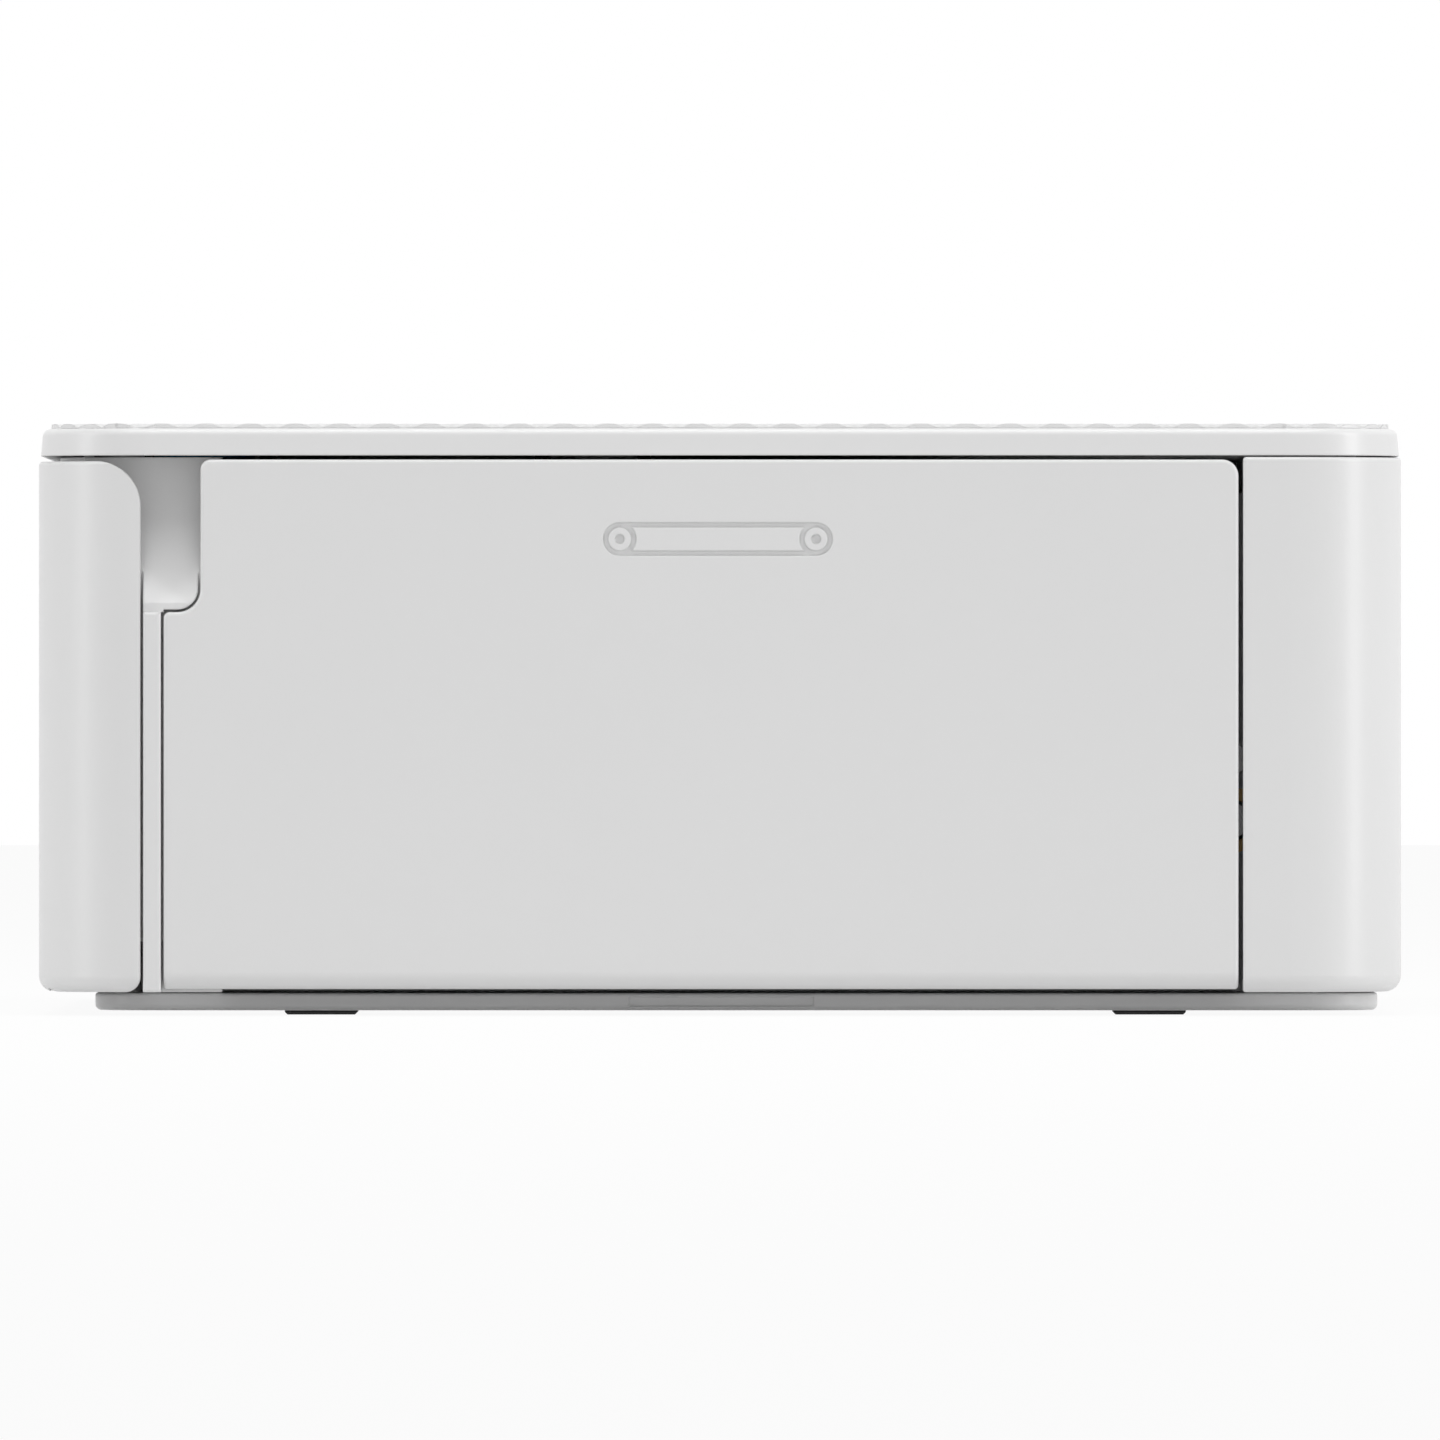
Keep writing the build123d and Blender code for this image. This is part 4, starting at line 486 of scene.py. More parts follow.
@dataclass(frozen=True)
class CircuitBoard(Finish):
    """Solder mask over copper tracks, with bare pads."""

    track: Colour = (0.05, 0.20, 0.08)
    pad: Colour = (0.62, 0.60, 0.52)
    track_scale: float = 260.0
    track_step: float = 0.37
    track_width: float = 0.018
    mask_step: float = 1.25
    mask_depth: float = 2e-5
    pad_scale: float = 420.0
    pad_size: float = 0.16
    pad_shine: float = 0.9

    def build(self, name: str, shelf: EffectShelf) -> bpy.types.Material:
        """Builds the material: tracks from a stepped brick pattern, pads from cells.

        Args:
            name: The material's name.
            shelf: Where the shared effects are kept.

        Returns:
            The material.
        """
        sheet, shader, place = self.start(name)
        tracks = sheet.texture("ShaderNodeTexBrick", place,
                               {"Scale": self.track_scale, "Mortar Size": self.track_width},
                               offset=self.track_step, squash=1.0)
        tracks.inputs["Color1"].default_value = tinted(self.colour)
        tracks.inputs["Color2"].default_value = tinted(self.colour, self.mask_step)
        tracks.inputs["Mortar"].default_value = tinted(self.track)
        cells = sheet.texture("ShaderNodeTexVoronoi", place, {"Scale": self.pad_scale},
                              feature="F1")
        pads = sheet.maths("LESS_THAN", cells.outputs["Distance"], self.pad_size)
        sheet.join(sheet.blend(pads, tracks.outputs["Color"], tinted(self.pad)),
                   shader.inputs["Base Color"])
        sheet.join(sheet.maths("MULTIPLY", pads, self.pad_shine), shader.inputs["Metallic"])
        self.bump_by(sheet, shader, tracks.outputs["Fac"], self.mask_depth)
        return bpy.data.materials[name]


@dataclass(frozen=True)
class TintedGlass(Finish):
    """Clear screen cover with a dark tint and an even gloss."""

    roughness: float = 0.02
    smudged_roughness: float = 0.12
    smudge_scale: float = 60.0
    see_through: float = 0.25
    refraction: float = 1.5
    coat: float = 0.6
    coat_roughness: float = 0.03

    def build(self, name: str, shelf: EffectShelf) -> bpy.types.Material:
        """Builds the material, with faint smudges on a clear coat.

        Args:
            name: The material's name.
            shelf: Where the shared effects are kept.

        Returns:
            The material.
        """
        sheet, shader, place = self.start(name)
        marks = self.effect(sheet, shelf, Effect.HANDLING, place, scale=self.smudge_scale)
        self.colour_by(sheet, shader, marks.outputs["Smudge"])
        gloss = sheet.spread(marks.outputs["Smudge"], self.roughness, self.smudged_roughness)
        sheet.join(gloss, shader.inputs["Roughness"])
        shader.inputs["Transmission Weight"].default_value = self.see_through
        shader.inputs["IOR"].default_value = self.refraction
        shader.inputs["Coat Weight"].default_value = self.coat
        shader.inputs["Coat Roughness"].default_value = self.coat_roughness
        return bpy.data.materials[name]


@dataclass(frozen=True)
class DyeFilm(Finish):
    """Thin glossy film with bands of dye: yellow, magenta, cyan and the clear overcoat."""

    roughness: float = 0.22
    band_length: float = 13.5 * MM
    slant: float = 0.4
    dyes: tuple[Colour, ...] = ((0.62, 0.42, 0.03), (0.42, 0.03, 0.16),
                                (0.02, 0.20, 0.42), (0.52, 0.52, 0.50))
    grain_scale: float = 700.0
    grain_depth: float = 1e-5
    coat: float = 0.5
    coat_roughness: float = 0.12

    def build(self, name: str, shelf: EffectShelf) -> bpy.types.Material:
        """Builds the material from bands across the film's run.

        Args:
            name: The material's name.
            shelf: Where the shared effects are kept.

        Returns:
            The material.
        """
        sheet, shader, place = self.start(name)
        axes = sheet.add("ShaderNodeSeparateXYZ")
        sheet.join(place, axes.inputs["Vector"])
        run = sheet.maths("ADD", axes.outputs["Y"],
                          sheet.maths("MULTIPLY", axes.outputs["Z"], self.slant))
        above_zero = sheet.maths("ADD", run, 1.0)
        turns = sheet.maths("FRACT", sheet.maths("DIVIDE", above_zero,
                                                 len(self.dyes) * self.band_length))
        bands = sheet.add("ShaderNodeValToRGB")
        bands.color_ramp.interpolation = "CONSTANT"
        stops = bands.color_ramp.elements
        while len(stops) < len(self.dyes):
            stops.new(1.0)
        for number, (stop, dye) in enumerate(zip(stops, self.dyes)):
            stop.position = number / len(self.dyes)
            stop.color = tinted(dye)
        sheet.join(turns, bands.inputs["Fac"])
        sheet.join(bands.outputs["Color"], shader.inputs["Base Color"])
        grain = self.effect(sheet, shelf, Effect.GRAIN, place, scale=self.grain_scale)
        self.bump_by(sheet, shader, grain.outputs["Height"], self.grain_depth)
        shader.inputs["Coat Weight"].default_value = self.coat
        shader.inputs["Coat Roughness"].default_value = self.coat_roughness
        return bpy.data.materials[name]


WHITE = (0.80, 0.80, 0.80)
FINISHES: dict[str, Finish] = {
    "casing_white": MouldedPlastic(WHITE, roughness=0.33, variation=0.008, edge_radius=0.00025),
    "inner_grey": MouldedPlastic((0.075, 0.08, 0.085), roughness=0.62),
    "guide_black": MouldedPlastic((0.012, 0.012, 0.013), roughness=0.45, variation=0.12),
    "key_white": MouldedPlastic((0.74, 0.74, 0.735), roughness=0.42, grain_depth=2e-6),
    "print_key": MouldedPlastic((0.022, 0.15, 0.34), roughness=0.40, grain_depth=2e-6),
    "screen_glass": TintedGlass((0.010, 0.011, 0.013)),
    "display": DisplayFace((0.016, 0.018, 0.023)),
    "rubber_black": Rubber((0.020, 0.020, 0.021), variation=0.15),
    "mat_grey": Rubber((0.36, 0.37, 0.38)),
    "sheet_steel": BrushedMetal((0.50, 0.51, 0.52), roughness=0.38, along=40.0, across=1600.0),
    "shaft_steel": BrushedMetal((0.60, 0.60, 0.61), roughness=0.24, along=5000.0, across=120.0),
    "bronze": BrushedMetal((0.44, 0.27, 0.11), roughness=0.42, along=900.0, across=900.0,
                           variation=0.12),
    "gear_white": MouldedPlastic((0.70, 0.69, 0.63), roughness=0.36, translucency=0.15),
    "motor_metal": BrushedMetal((0.42, 0.43, 0.45), roughness=0.33, along=3000.0, across=90.0),
    "aluminium": BrushedMetal((0.62, 0.63, 0.64), roughness=0.34, along=25.0, across=2400.0),
    "ceramic": MouldedPlastic((0.58, 0.53, 0.42), roughness=0.22, grain_depth=1e-6),
    "board_green": CircuitBoard((0.012, 0.085, 0.035), roughness=0.32),
    "port_metal": BrushedMetal((0.58, 0.58, 0.58), roughness=0.28, along=300.0, across=1500.0),
    "connector_black": MouldedPlastic((0.014, 0.014, 0.015), roughness=0.4, variation=0.1),
    "cassette_grey": MouldedPlastic((0.17, 0.18, 0.20), roughness=0.38, grain_depth=3e-6),
    "spool_white": MouldedPlastic((0.66, 0.66, 0.64), roughness=0.42, translucency=0.1),
    "dye_film": DyeFilm((0.3, 0.1, 0.2)),
}


class FinishShelf:
    """Builds each finish once and gives it to the frame's nodes and the new pieces."""

    def __init__(self) -> None:
        """Builds the effects and the materials."""
        effects = EffectShelf()
        self.materials = {slot: finish.build(slot.replace("_", " "), effects)
                          for slot, finish in FINISHES.items()}

    def dress(self, piece: bpy.types.Object, slot: str) -> None:
        """Gives a piece one finish all over.

        Args:
            piece: The piece.
            slot: The finish's slot.
        """
        piece.data.materials.clear()
        piece.data.materials.append(self.materials[slot])

    def dress_frame(self) -> None:
        """Gives every node of the frame the finish of its record slot."""
        for entry in frame["record"]["subparts"]:
            self.dress(frame["nodes"][entry["node"]], entry["material_slot"])
            log.info("dressed %s in %s", entry["node"], entry["material_slot"])


# ---------------------------------------------------------------- modelling by hand, in code
class Bench:
    """Operator calls shared by the pieces: selection, edit mode and finishing."""

    @staticmethod
    def clear() -> None:
        """Deselects every object."""
        bpy.ops.object.select_all(action="DESELECT")

    @staticmethod
    def edit(mode: str = "FACE") -> None:
        """Enters edit mode on the active object with the given select mode."""
        bpy.ops.object.mode_set(mode="EDIT")
        bpy.ops.mesh.select_mode(type=mode)

    @staticmethod
    def leave() -> None:
        """Returns to object mode."""
        bpy.ops.object.mode_set(mode="OBJECT")

    @classmethod
    def pick(cls, kind: str, test: object) -> int:
        """Selects the active mesh's vertices, edges or faces that pass a test.

        Args:
            kind: "vertices", "edges" or "polygons".
            test: Called with each element; true selects it.

        Returns:
            How many were selected.
        """
        cls.leave()
        mesh = bpy.context.object.data
        for group in (mesh.vertices, mesh.edges, mesh.polygons):
            group.foreach_set("select", [False] * len(group))
        chosen = [bool(test(element)) for element in getattr(mesh, kind)]
        getattr(mesh, kind).foreach_set("select", chosen)
        cls.edit({"vertices": "VERT", "edges": "EDGE", "polygons": "FACE"}[kind])
        return sum(chosen)

    @classmethod
    def apply_place(cls, piece: bpy.types.Object) -> None:
        """Moves an object's place into its mesh."""
        cls.clear()
        piece.select_set(True)
        bpy.context.view_layer.objects.active = piece
        bpy.ops.object.transform_apply(location=True, rotation=True, scale=True)

    @classmethod
    def join(cls, pieces: list[bpy.types.Object], name: str) -> bpy.types.Object:
        """Joins pieces into one.

        Args:
            pieces: Mesh objects.
            name: The joined object's name.

        Returns:
            The joined object.
        """
        for piece in pieces:
            cls.apply_place(piece)
        cls.clear()
        for piece in pieces:
            piece.select_set(True)
        bpy.context.view_layer.objects.active = pieces[0]
        if len(pieces) > 1:
            bpy.ops.object.join()
        joined = bpy.context.object
        joined.name = name
        joined.data.name = name
        return joined

    @staticmethod
    def modify(piece: bpy.types.Object, kind: str, **settings: object) -> None:
        """Adds a modifier to a piece and applies it.

        Args:
            piece: The piece.
            kind: The modifier's type, such as "ARRAY".
            settings: Its settings.
        """
        bpy.context.view_layer.objects.active = piece
        modifier = piece.modifiers.new(kind.title(), kind)
        for name, value in settings.items():
            setattr(modifier, name, value)
        bpy.ops.object.modifier_apply(modifier=modifier.name)


# ---------------------------------------------------------------- pillowed top
@dataclass(frozen=True)
class RoundedRectangle:
    """A rounded rectangle seen from above, as the straight cuts that bound it."""

    low: tuple[float, float]
    high: tuple[float, float]
    corner: float
    corner_cuts: int

    def cuts(self) -> list[tuple[Vector, Vector]]:
        """Works out the cuts.

        Returns:
            A place on each cut and its normal, which points out of the rectangle.
        """
        centre = (Vector(self.low) + Vector(self.high)) / 2
        reach = (Vector(self.high) - Vector(self.low)) / 2
        found = []
        steps = 4 * self.corner_cuts
        for step in range(steps):
            angle = 2 * math.pi * (step + 0.5) / steps
            normal = Vector((math.cos(angle), math.sin(angle), 0))
            core = Vector((centre.x + math.copysign(reach.x - self.corner, normal.x),
                           centre.y + math.copysign(reach.y - self.corner, normal.y), 0))
            found.append((core + normal * self.corner, normal))
        for normal in (Vector((1, 0, 0)), Vector((0, 1, 0))):
            found.append((Vector((*self.high, 0)), normal))
            found.append((Vector((*self.low, 0)), -normal))
        return found


@dataclass
class PillowedTop:
    """The top's quilted skin: crowned diamonds in staggered rows round a smooth key field."""

    pitch: float = 4.35 * MM
    crown: float = 0.40 * MM
    floor: float = 57.27 * MM
    root: float = 57.0 * MM
    half_width: float = 89.75 * MM
    half_depth: float = 65.15 * MM
    corner: float = 9.65 * MM
    corner_cuts: int = 8
    field_low: tuple[float, float] = (-71.05 * MM, -62.55 * MM)
    field_high: tuple[float, float] = (84.05 * MM, -3.45 * MM)
    field_corner: float = 2.05 * MM
    field_corner_cuts: int = 3
    crown_shares: tuple = (((0.0, 0.0), 1.0), ((0.25, 0.0), 0.94), ((0.25, 0.25), 0.86))
    merge_distance: float = 0.01 * MM
    smooth_angle: float = 28.0
    name: str = "pillowed_skin"

    @property
    def _places(self) -> tuple[int, int]:
        """How many whole diamonds lie to each side of the middle, across and along the top."""
        reaches = (self.half_width, self.half_depth)
        return tuple(math.ceil(reach / self.pitch) + 1 for reach in reaches)

    def _pillow(self) -> bpy.types.Object:
        """Models one crowned diamond at the lattice's first place.

        Returns:
            The diamond's object.
        """
        side = self.pitch / math.sqrt(2)
        Bench.clear()
        bpy.ops.mesh.primitive_grid_add(x_subdivisions=4, y_subdivisions=4, size=side)
        pillow = bpy.context.object
        for (u, v), share in self.crown_shares:
            spots = {(round(abs(a), 2), round(abs(b), 2)) for a, b in ((u, v), (v, u))}
            Bench.pick("vertices", lambda p: (round(abs(p.co.x) / side, 2),
                                              round(abs(p.co.y) / side, 2)) in spots)
            bpy.ops.transform.translate(value=(0, 0, share * self.crown))
        Bench.leave()
        pillow.rotation_euler.z = math.pi / 4
        columns, rows = self._places
        pillow.location = (-columns * self.pitch, -rows * self.pitch, self.floor)
        Bench.apply_place(pillow)
        return pillow

    def _quilt(self, pillow: bpy.types.Object) -> None:
        """Repeats the diamond over the whole top, in staggered rows.

        Args:
            pillow: The diamond, which becomes the quilt.
        """
        columns, rows = self._places
        half = self.pitch / 2
        for count, offset in ((2, (half, half, 0)), (2 * columns + 1, (self.pitch, 0, 0)),
                              (2 * rows + 1, (0, self.pitch, 0))):
            Bench.modify(pillow, "ARRAY", count=count, use_relative_offset=False,
                         use_constant_offset=True, constant_offset_displace=offset,
                         use_merge_vertices=True, merge_threshold=self.merge_distance)

    def _trim(self) -> None:
        """Cuts the quilt along the plateau's rounded outline."""
        plateau = RoundedRectangle((-self.half_width, -self.half_depth),
                                   (self.half_width, self.half_depth), self.corner,
                                   self.corner_cuts)
        for place, normal in plateau.cuts():
            bpy.ops.mesh.select_all(action="SELECT")
            bpy.ops.mesh.bisect(plane_co=place, plane_no=normal, clear_outer=True)

    def _open_field(self) -> None:
        """Cuts out the smooth field of the screen and the keys."""
        cuts = RoundedRectangle(self.field_low, self.field_high, self.field_corner,
                                self.field_corner_cuts).cuts()
        for place, normal in cuts:
            bpy.ops.mesh.select_all(action="SELECT")
            bpy.ops.mesh.bisect(plane_co=place, plane_no=normal)
        Bench.pick("polygons", lambda face: all(
            normal.x * (face.center.x - place.x) + normal.y * (face.center.y - place.y) < 0
            for place, normal in cuts))
        bpy.ops.mesh.delete(type="FACE")

    def _close(self) -> None:
        """Draws the open borders down to one level and fills the underside."""
        bpy.ops.mesh.select_mode(type="EDGE")
        bpy.ops.mesh.select_all(action="DESELECT")
        bpy.ops.mesh.select_non_manifold(extend=False, use_wire=False, use_boundary=True,
                                         use_multi_face=False, use_non_contiguous=False,
                                         use_verts=False)
        bpy.ops.mesh.extrude_edges_move(
            TRANSFORM_OT_translate={"value": (0, 0, self.root - self.floor)})
        bpy.ops.transform.resize(value=(1, 1, 0), center_override=(0, 0, self.root))
        bpy.ops.mesh.fill()
        bpy.ops.mesh.select_all(action="SELECT")
        bpy.ops.mesh.normals_make_consistent(inside=False)
        Bench.leave()

    def build(self, shelf: FinishShelf) -> bpy.types.Object:
        """Models the skin and fixes it to the casing.

        Args:
            shelf: Where the finishes are kept.

        Returns:
            The finished piece.
        """
        skin = self._pillow()
        self._quilt(skin)
        Bench.edit()
        self._trim()
        self._open_field()
        self._close()
        bpy.ops.object.shade_smooth_by_angle(angle=math.radians(self.smooth_angle))
        skin.name = skin.data.name = self.name
        shelf.dress(skin, "casing_white")
        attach(skin, "casing")
        return skin


# ---------------------------------------------------------------- springs over the head
@dataclass(frozen=True)
class HeadSprings:
    """The two wound springs between the cross beam and the thermal head's heat sink."""

    travel: float = 2.5 * MM          # how far the head lifts
    merge_distance: float = 0.001 * MM
    smooth_angle: float = 40.0
    name: str = "head_spring_wires"

    def build(self, shelf: FinishShelf) -> bpy.types.Object:
        """Copies the frame's spring wires into one smooth steel piece fixed to the casing, and hides
        the frame's own.

        Returns:
            The finished piece.
        """
        wires = bpy.data.objects.new(self.name, frame["nodes"]["head_springs"].data.copy())
        bpy.context.collection.objects.link(wires)
        Bench.clear()
        wires.select_set(True)
        bpy.context.view_layer.objects.active = wires
        Bench.edit("VERT")
        bpy.ops.mesh.select_all(action="SELECT")
        bpy.ops.mesh.remove_doubles(threshold=self.merge_distance)
        Bench.leave()
        bpy.ops.object.shade_smooth_by_angle(angle=math.radians(self.smooth_angle))
        wires.data.name = self.name
        shelf.dress(wires, "shaft_steel")
        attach(wires, "casing")
        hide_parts("head_springs")
        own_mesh(wires)
        return wires


# ---------------------------------------------------------------- signs on the keys
@dataclass(frozen=True)
class Pen:
    """Draws the thin shapes of a printed sign, from one level up to another, in millimetres."""

    low: float
    high: float
    line: float = 0.3
    ring_sides: int = 72

    def _place(self, place: tuple[float, float], turn: float) -> bpy.types.Object:
        """Moves the shape just drawn to its place and turns it about the upright.

        Args:
            place: Where its centre goes.
            turn: The turn in degrees.

        Returns:
            The shape.
        """
        shape = bpy.context.object
        shape.location = (place[0] * MM, place[1] * MM, (self.low + self.high) / 2 * MM)
        shape.rotation_euler.z = math.radians(turn)
        return shape

    def bar(self, place: tuple[float, float], size: tuple[float, float],
            turn: float = 0.0) -> bpy.types.Object:
        """Draws a straight bar.

        Args:
            place: Its centre.
            size: Its length along X and along Y, before the turn.
            turn: Its turn in degrees.

        Returns:
            The bar.
        """
        Bench.clear()
        bpy.ops.mesh.primitive_cube_add(size=MM)
        bpy.context.object.scale = (*size, self.high - self.low)
        return self._place(place, turn)

    def wedge(self, place: tuple[float, float], radius: float,
              turn: float = 0.0) -> bpy.types.Object:
        """Draws a triangle.

        Args:
            place: Its centre.
            radius: How far its corners lie from there.
            turn: Its turn in degrees; without one a corner points to +Y.

        Returns:
            The triangle.
        """
        Bench.clear()
        bpy.ops.mesh.primitive_cylinder_add(vertices=3, radius=radius * MM,
                                            depth=(self.high - self.low) * MM)
        return self._place(place, turn)

    def ring(self, place: tuple[float, float], radius: float, line: float | None = None,
             gap: float = 0.0) -> bpy.types.Object:
        """Draws a ring.

        Args:
            place: Its centre.
            radius: Its outer radius.
            line: How wide its line is, if not the pen's.
            gap: Degrees left open at +Y.

        Returns:
            The ring.
        """
        Bench.clear()
        bpy.ops.mesh.primitive_circle_add(vertices=self.ring_sides, radius=radius * MM)
        Bench.edit("VERT")
        if gap:
            Bench.pick("vertices", lambda point: abs(math.degrees(
                math.atan2(point.co.x, point.co.y))) < gap / 2)
            bpy.ops.mesh.delete(type="VERT")
        bpy.ops.mesh.select_all(action="SELECT")
        share = (radius - (line or self.line)) / radius
        bpy.ops.mesh.extrude_region_move()
        bpy.ops.transform.resize(value=(share, share, 1), center_override=(0, 0, 0))
        bpy.ops.mesh.select_all(action="SELECT")
        thickness = (self.high - self.low) * MM
        bpy.ops.transform.translate(value=(0, 0, -thickness / 2))
        bpy.ops.mesh.extrude_region_move(TRANSFORM_OT_translate={"value": (0, 0, thickness)})
        bpy.ops.mesh.select_all(action="SELECT")
        bpy.ops.mesh.normals_make_consistent(inside=False)
        Bench.leave()
        return self._place(place, 0.0)


@dataclass(frozen=True)
class KeySign:
    """The sign printed on one key, in millimetres."""

    body: str
    centre: tuple[float, float]
    top: float
    ink: str = "inner_grey"
    depth: float = 0.06
    proud: float = 0.012

    def draw(self, pen: Pen, at: tuple[float, float]) -> list[bpy.types.Object]:
        """Draws the sign's shapes; each sign does this in its own way.

        Args:
            pen: What draws them.
            at: The sign's centre.

        Returns:
            The shapes.
        """
        raise NotImplementedError

    def build(self, shelf: FinishShelf) -> bpy.types.Object:
        """Models the sign and fixes it to its key.

        Args:
            shelf: Where the finishes are kept.

        Returns:
            The finished piece.
        """
        pen = Pen(self.top - self.depth, self.top + self.proud)
        sign = Bench.join(self.draw(pen, self.centre), f"{self.body}_sign")
        shelf.dress(sign, self.ink)
        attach(sign, self.body)
        return sign


class PowerSign(KeySign):
    """An open ring with a bar in its gap."""

    def draw(self, pen: Pen, at: tuple[float, float]) -> list[bpy.types.Object]:
        """Draws the ring and the bar."""
        return [pen.ring(at, radius=1.35, gap=70),
                pen.bar((at[0], at[1] + 1.0), size=(pen.line, 1.3))]


@dataclass(frozen=True)
class MenuSign(KeySign):
    """Three short bars."""

    bar_pitch: float = 0.85
    bar_size: tuple[float, float] = (2.6, 0.32)

    def draw(self, pen: Pen, at: tuple[float, float]) -> list[bpy.types.Object]:
        """Draws the bars."""
        return [pen.bar((at[0], at[1] + step * self.bar_pitch), self.bar_size)
                for step in (-1, 0, 1)]


class BackSign(KeySign):
    """An arrow to the left with a bent tail."""

    def draw(self, pen: Pen, at: tuple[float, float]) -> list[bpy.types.Object]:
        """Draws the arrow's head, and its tail from there down and back.

        Args:
            pen: What draws them.
            at: The sign's centre.

        Returns:
            The shapes.
        """
        x, y = at
        return [pen.wedge((x - 0.95, y + 0.35), radius=0.75, turn=90),
                pen.bar((x + 0.3, y + 0.35), size=(1.9, pen.line)),
                pen.bar((x + 1.1, y - 0.3), size=(pen.line, 1.6)),
                pen.bar((x + 0.35, y - 0.95), size=(1.8, pen.line))]


@dataclass(frozen=True)
class PrintSign(KeySign):
    """A sheet with a picture of two hills, and an arrow below it."""

    sheet: tuple[float, float] = (5.0, 3.2)

    def draw(self, pen: Pen, at: tuple[float, float]) -> list[bpy.types.Object]:
        """Draws the sheet's border, the hills and the arrow.

        Args:
            pen: What draws them.
            at: The sign's centre.

        Returns:
            The shapes.
        """
        x, y = at
        width, height = self.sheet
        border = [pen.bar((x, y + side * (height - pen.line) / 2), size=(width, pen.line))
                  for side in (-1, 1)]
        border += [pen.bar((x + side * (width - pen.line) / 2, y), size=(pen.line, height))
                   for side in (-1, 1)]
        return border + [pen.wedge((x - 0.7, y - 0.45), radius=1.0),
                         pen.wedge((x + 0.85, y - 0.6), radius=0.7),
                         pen.wedge((x, y - 2.75), radius=0.65, turn=180)]


@dataclass(frozen=True)
class ArrowSigns(KeySign):
    """Four arrowheads round the navigation ring."""

    reach: float = 9.15
    size: float = 0.85

    def draw(self, pen: Pen, at: tuple[float, float]) -> list[bpy.types.Object]:
        """Draws an arrowhead on each side, pointing outwards."""
        return [pen.wedge((at[0] - self.reach * math.sin(math.radians(turn)),
                           at[1] + self.reach * math.cos(math.radians(turn))), self.size, turn)
                for turn in (0, 90, 180, 270)]


class CentreSign(KeySign):
    """A ring round a dot."""

    def draw(self, pen: Pen, at: tuple[float, float]) -> list[bpy.types.Object]:
        """Draws the ring and the dot."""
        return [pen.ring(at, radius=1.7), pen.ring(at, radius=0.5, line=0.45)]


KEY_SIGNS = (PowerSign("power_key", centre=(76.0, -12.5), top=57.6),
             MenuSign("menu_key", centre=(30.0, -12.5), top=57.6),
             BackSign("back_key", centre=(30.0, -50.0), top=57.6),
             PrintSign("print_key", centre=(71.0, -50.1), top=57.6, ink="key_white"),
             ArrowSigns("navigation_ring", centre=(50.0, -31.0), top=57.15),
             CentreSign("ok_key", centre=(50.0, -31.0), top=57.3))


# ---------------------------------------------------------------- studio
@dataclass(frozen=True)
class Lamp:
    """One soft lamp: its centre, its width and height in metres, and its power in watts."""

    name: str
    place: tuple[float, float, float]
    size: tuple[float, float]
    power: float


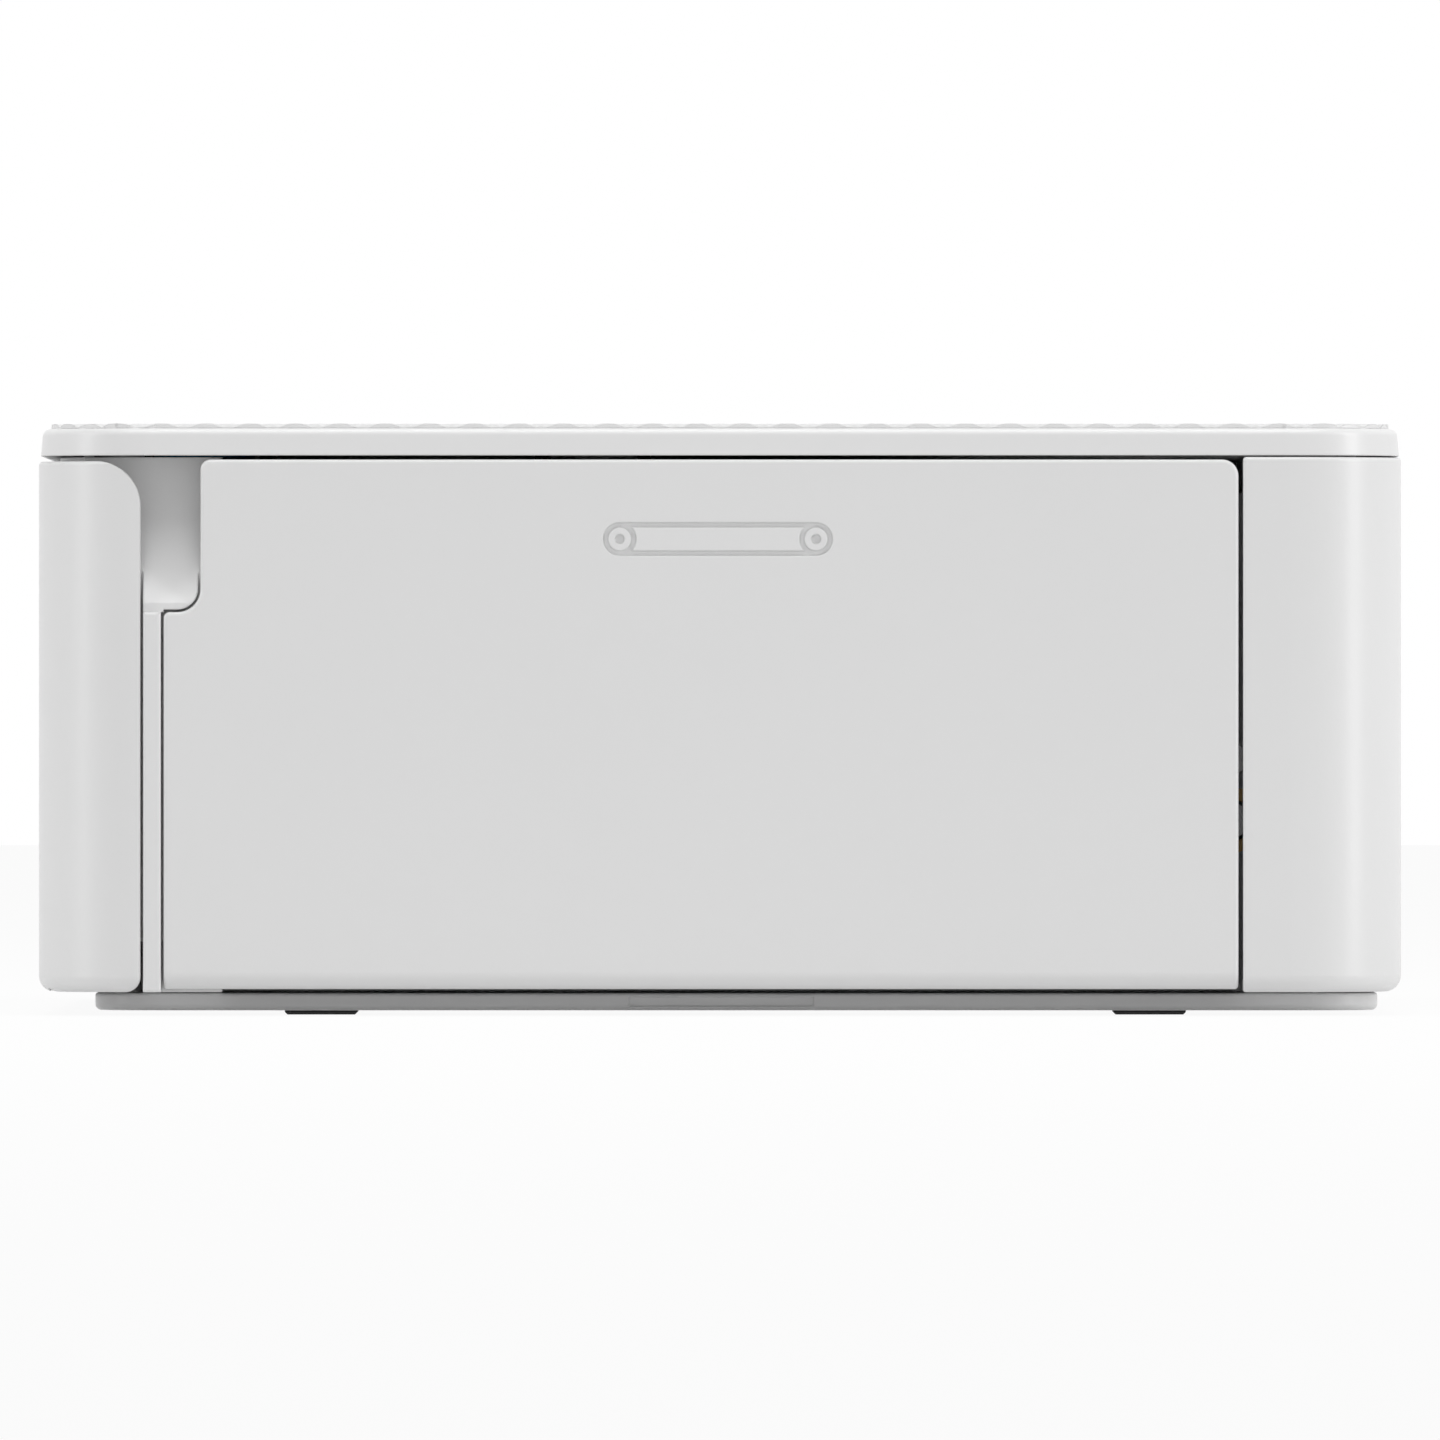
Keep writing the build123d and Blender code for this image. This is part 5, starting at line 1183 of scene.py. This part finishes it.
@dataclass(frozen=True)
class Studio:
    """Plain pale floor, white surroundings, soft lamps and the camera."""

    aim: tuple[float, float, float] = (0.0, 0.0, 0.0288)
    camera_distance: float = 3.0
    face_x: float = 0.0911
    frame_width: float = 0.1401
    sensor: float = 36.0
    clip_start: float = 0.01
    floor_size: float = 8.0
    floor_colour: Colour = (0.80, 0.80, 0.80)
    floor_roughness: float = 0.9
    floor_glow: float = 0.93
    world_strength: float = 0.41
    lamps: tuple[Lamp, ...] = (
        Lamp("rear strip", place=(0.42, 1.0, 0.35), size=(0.25, 0.9), power=4.4),
        Lamp("front strip", place=(0.40, -1.1, 0.35), size=(0.25, 0.9), power=3.2),
        Lamp("overhead softbox", place=(0.25, 0.0, 1.15), size=(0.7, 0.9), power=6.5))

    @staticmethod
    def seen_white(sheet: NodeSheet) -> bpy.types.NodeSocket:
        """Finds the rays that should meet plain white: from the camera, gloss and glass.

        Args:
            sheet: The material's or the world's sheet.

        Returns:
            1 for those rays and 0 for the rest.
        """
        path = sheet.add("ShaderNodeLightPath")
        glossy = sheet.maths("MAXIMUM", path.outputs["Is Glossy Ray"],
                             path.outputs["Is Transmission Ray"])
        return sheet.maths("MAXIMUM", path.outputs["Is Camera Ray"], glossy)

    def camera(self) -> None:
        """Places the camera at the photograph's angle, square to the cassette door."""
        data = bpy.data.cameras.new("camera")
        data.sensor_width = self.sensor
        data.lens = self.sensor * self.camera_distance / self.frame_width
        data.clip_start = self.clip_start
        camera = bpy.data.objects.new("camera", data)
        bpy.context.scene.collection.objects.link(camera)
        camera.location = (self.face_x + self.camera_distance, self.aim[1], self.aim[2])
        camera.rotation_euler = (math.pi / 2, 0, math.pi / 2)
        bpy.context.scene.camera = camera

    def floor(self) -> None:
        """Lays a pale floor that shows white to the camera and keeps the object's shadow."""
        Bench.clear()
        bpy.ops.mesh.primitive_plane_add(size=self.floor_size, location=(0, 0, 0))
        floor = bpy.context.object
        floor.name = "floor"
        material = bpy.data.materials.new("pale floor")
        material.use_nodes = True
        sheet = NodeSheet(material.node_tree)
        shader = material.node_tree.nodes["Principled BSDF"]
        shader.inputs["Base Color"].default_value = tinted(self.floor_colour)
        shader.inputs["Roughness"].default_value = self.floor_roughness
        glow = sheet.add("ShaderNodeEmission")
        mix = sheet.add("ShaderNodeMixShader")
        sheet.join(sheet.maths("MULTIPLY", self.seen_white(sheet), self.floor_glow),
                   mix.inputs["Fac"])
        sheet.join(shader.outputs["BSDF"], mix.inputs[1])
        sheet.join(glow.outputs["Emission"], mix.inputs[2])
        output = material.node_tree.nodes["Material Output"]
        sheet.join(mix.outputs["Shader"], output.inputs["Surface"])
        floor.data.materials.append(material)

    def world(self) -> None:
        """Surrounds the scene with even light, white to the camera."""
        world = bpy.data.worlds.new("studio")
        world.use_nodes = True
        bpy.context.scene.world = world
        sheet = NodeSheet(world.node_tree)
        background = world.node_tree.nodes["Background"]
        background.inputs["Color"].default_value = (1, 1, 1, 1)
        sheet.join(sheet.spread(self.seen_white(sheet), self.world_strength, 1.0),
                   background.inputs["Strength"])

    def hang(self, lamp: Lamp) -> None:
        """Hangs one lamp so that it faces the printer.

        Args:
            lamp: The lamp.
        """
        data = bpy.data.lights.new(lamp.name, "AREA")
        data.shape = "RECTANGLE"
        data.size, data.size_y = lamp.size
        data.energy = lamp.power
        hung = bpy.data.objects.new(lamp.name, data)
        bpy.context.scene.collection.objects.link(hung)
        hung.location = lamp.place
        ray = Vector(self.aim) - Vector(lamp.place)
        hung.rotation_euler = ray.to_track_quat("-Z", "Y").to_euler()

    def build(self) -> None:
        """Builds the studio."""
        self.camera()
        self.floor()
        self.world()
        for lamp in self.lamps:
            self.hang(lamp)
        bpy.context.scene.view_settings.view_transform = "Standard"


def main() -> None:
    """Builds the pieces in order, then the studio."""
    logging.basicConfig(level=logging.INFO, format="%(message)s")
    finishes = FinishShelf()
    finishes.dress_frame()
    for part in (PillowedTop(), HeadSprings(), *KEY_SIGNS):
        piece = part.build(finishes)
        log.info("built %s with %d faces", piece.name, len(piece.data.polygons))
    Studio().build()


if __name__ == "__main__":
    main()
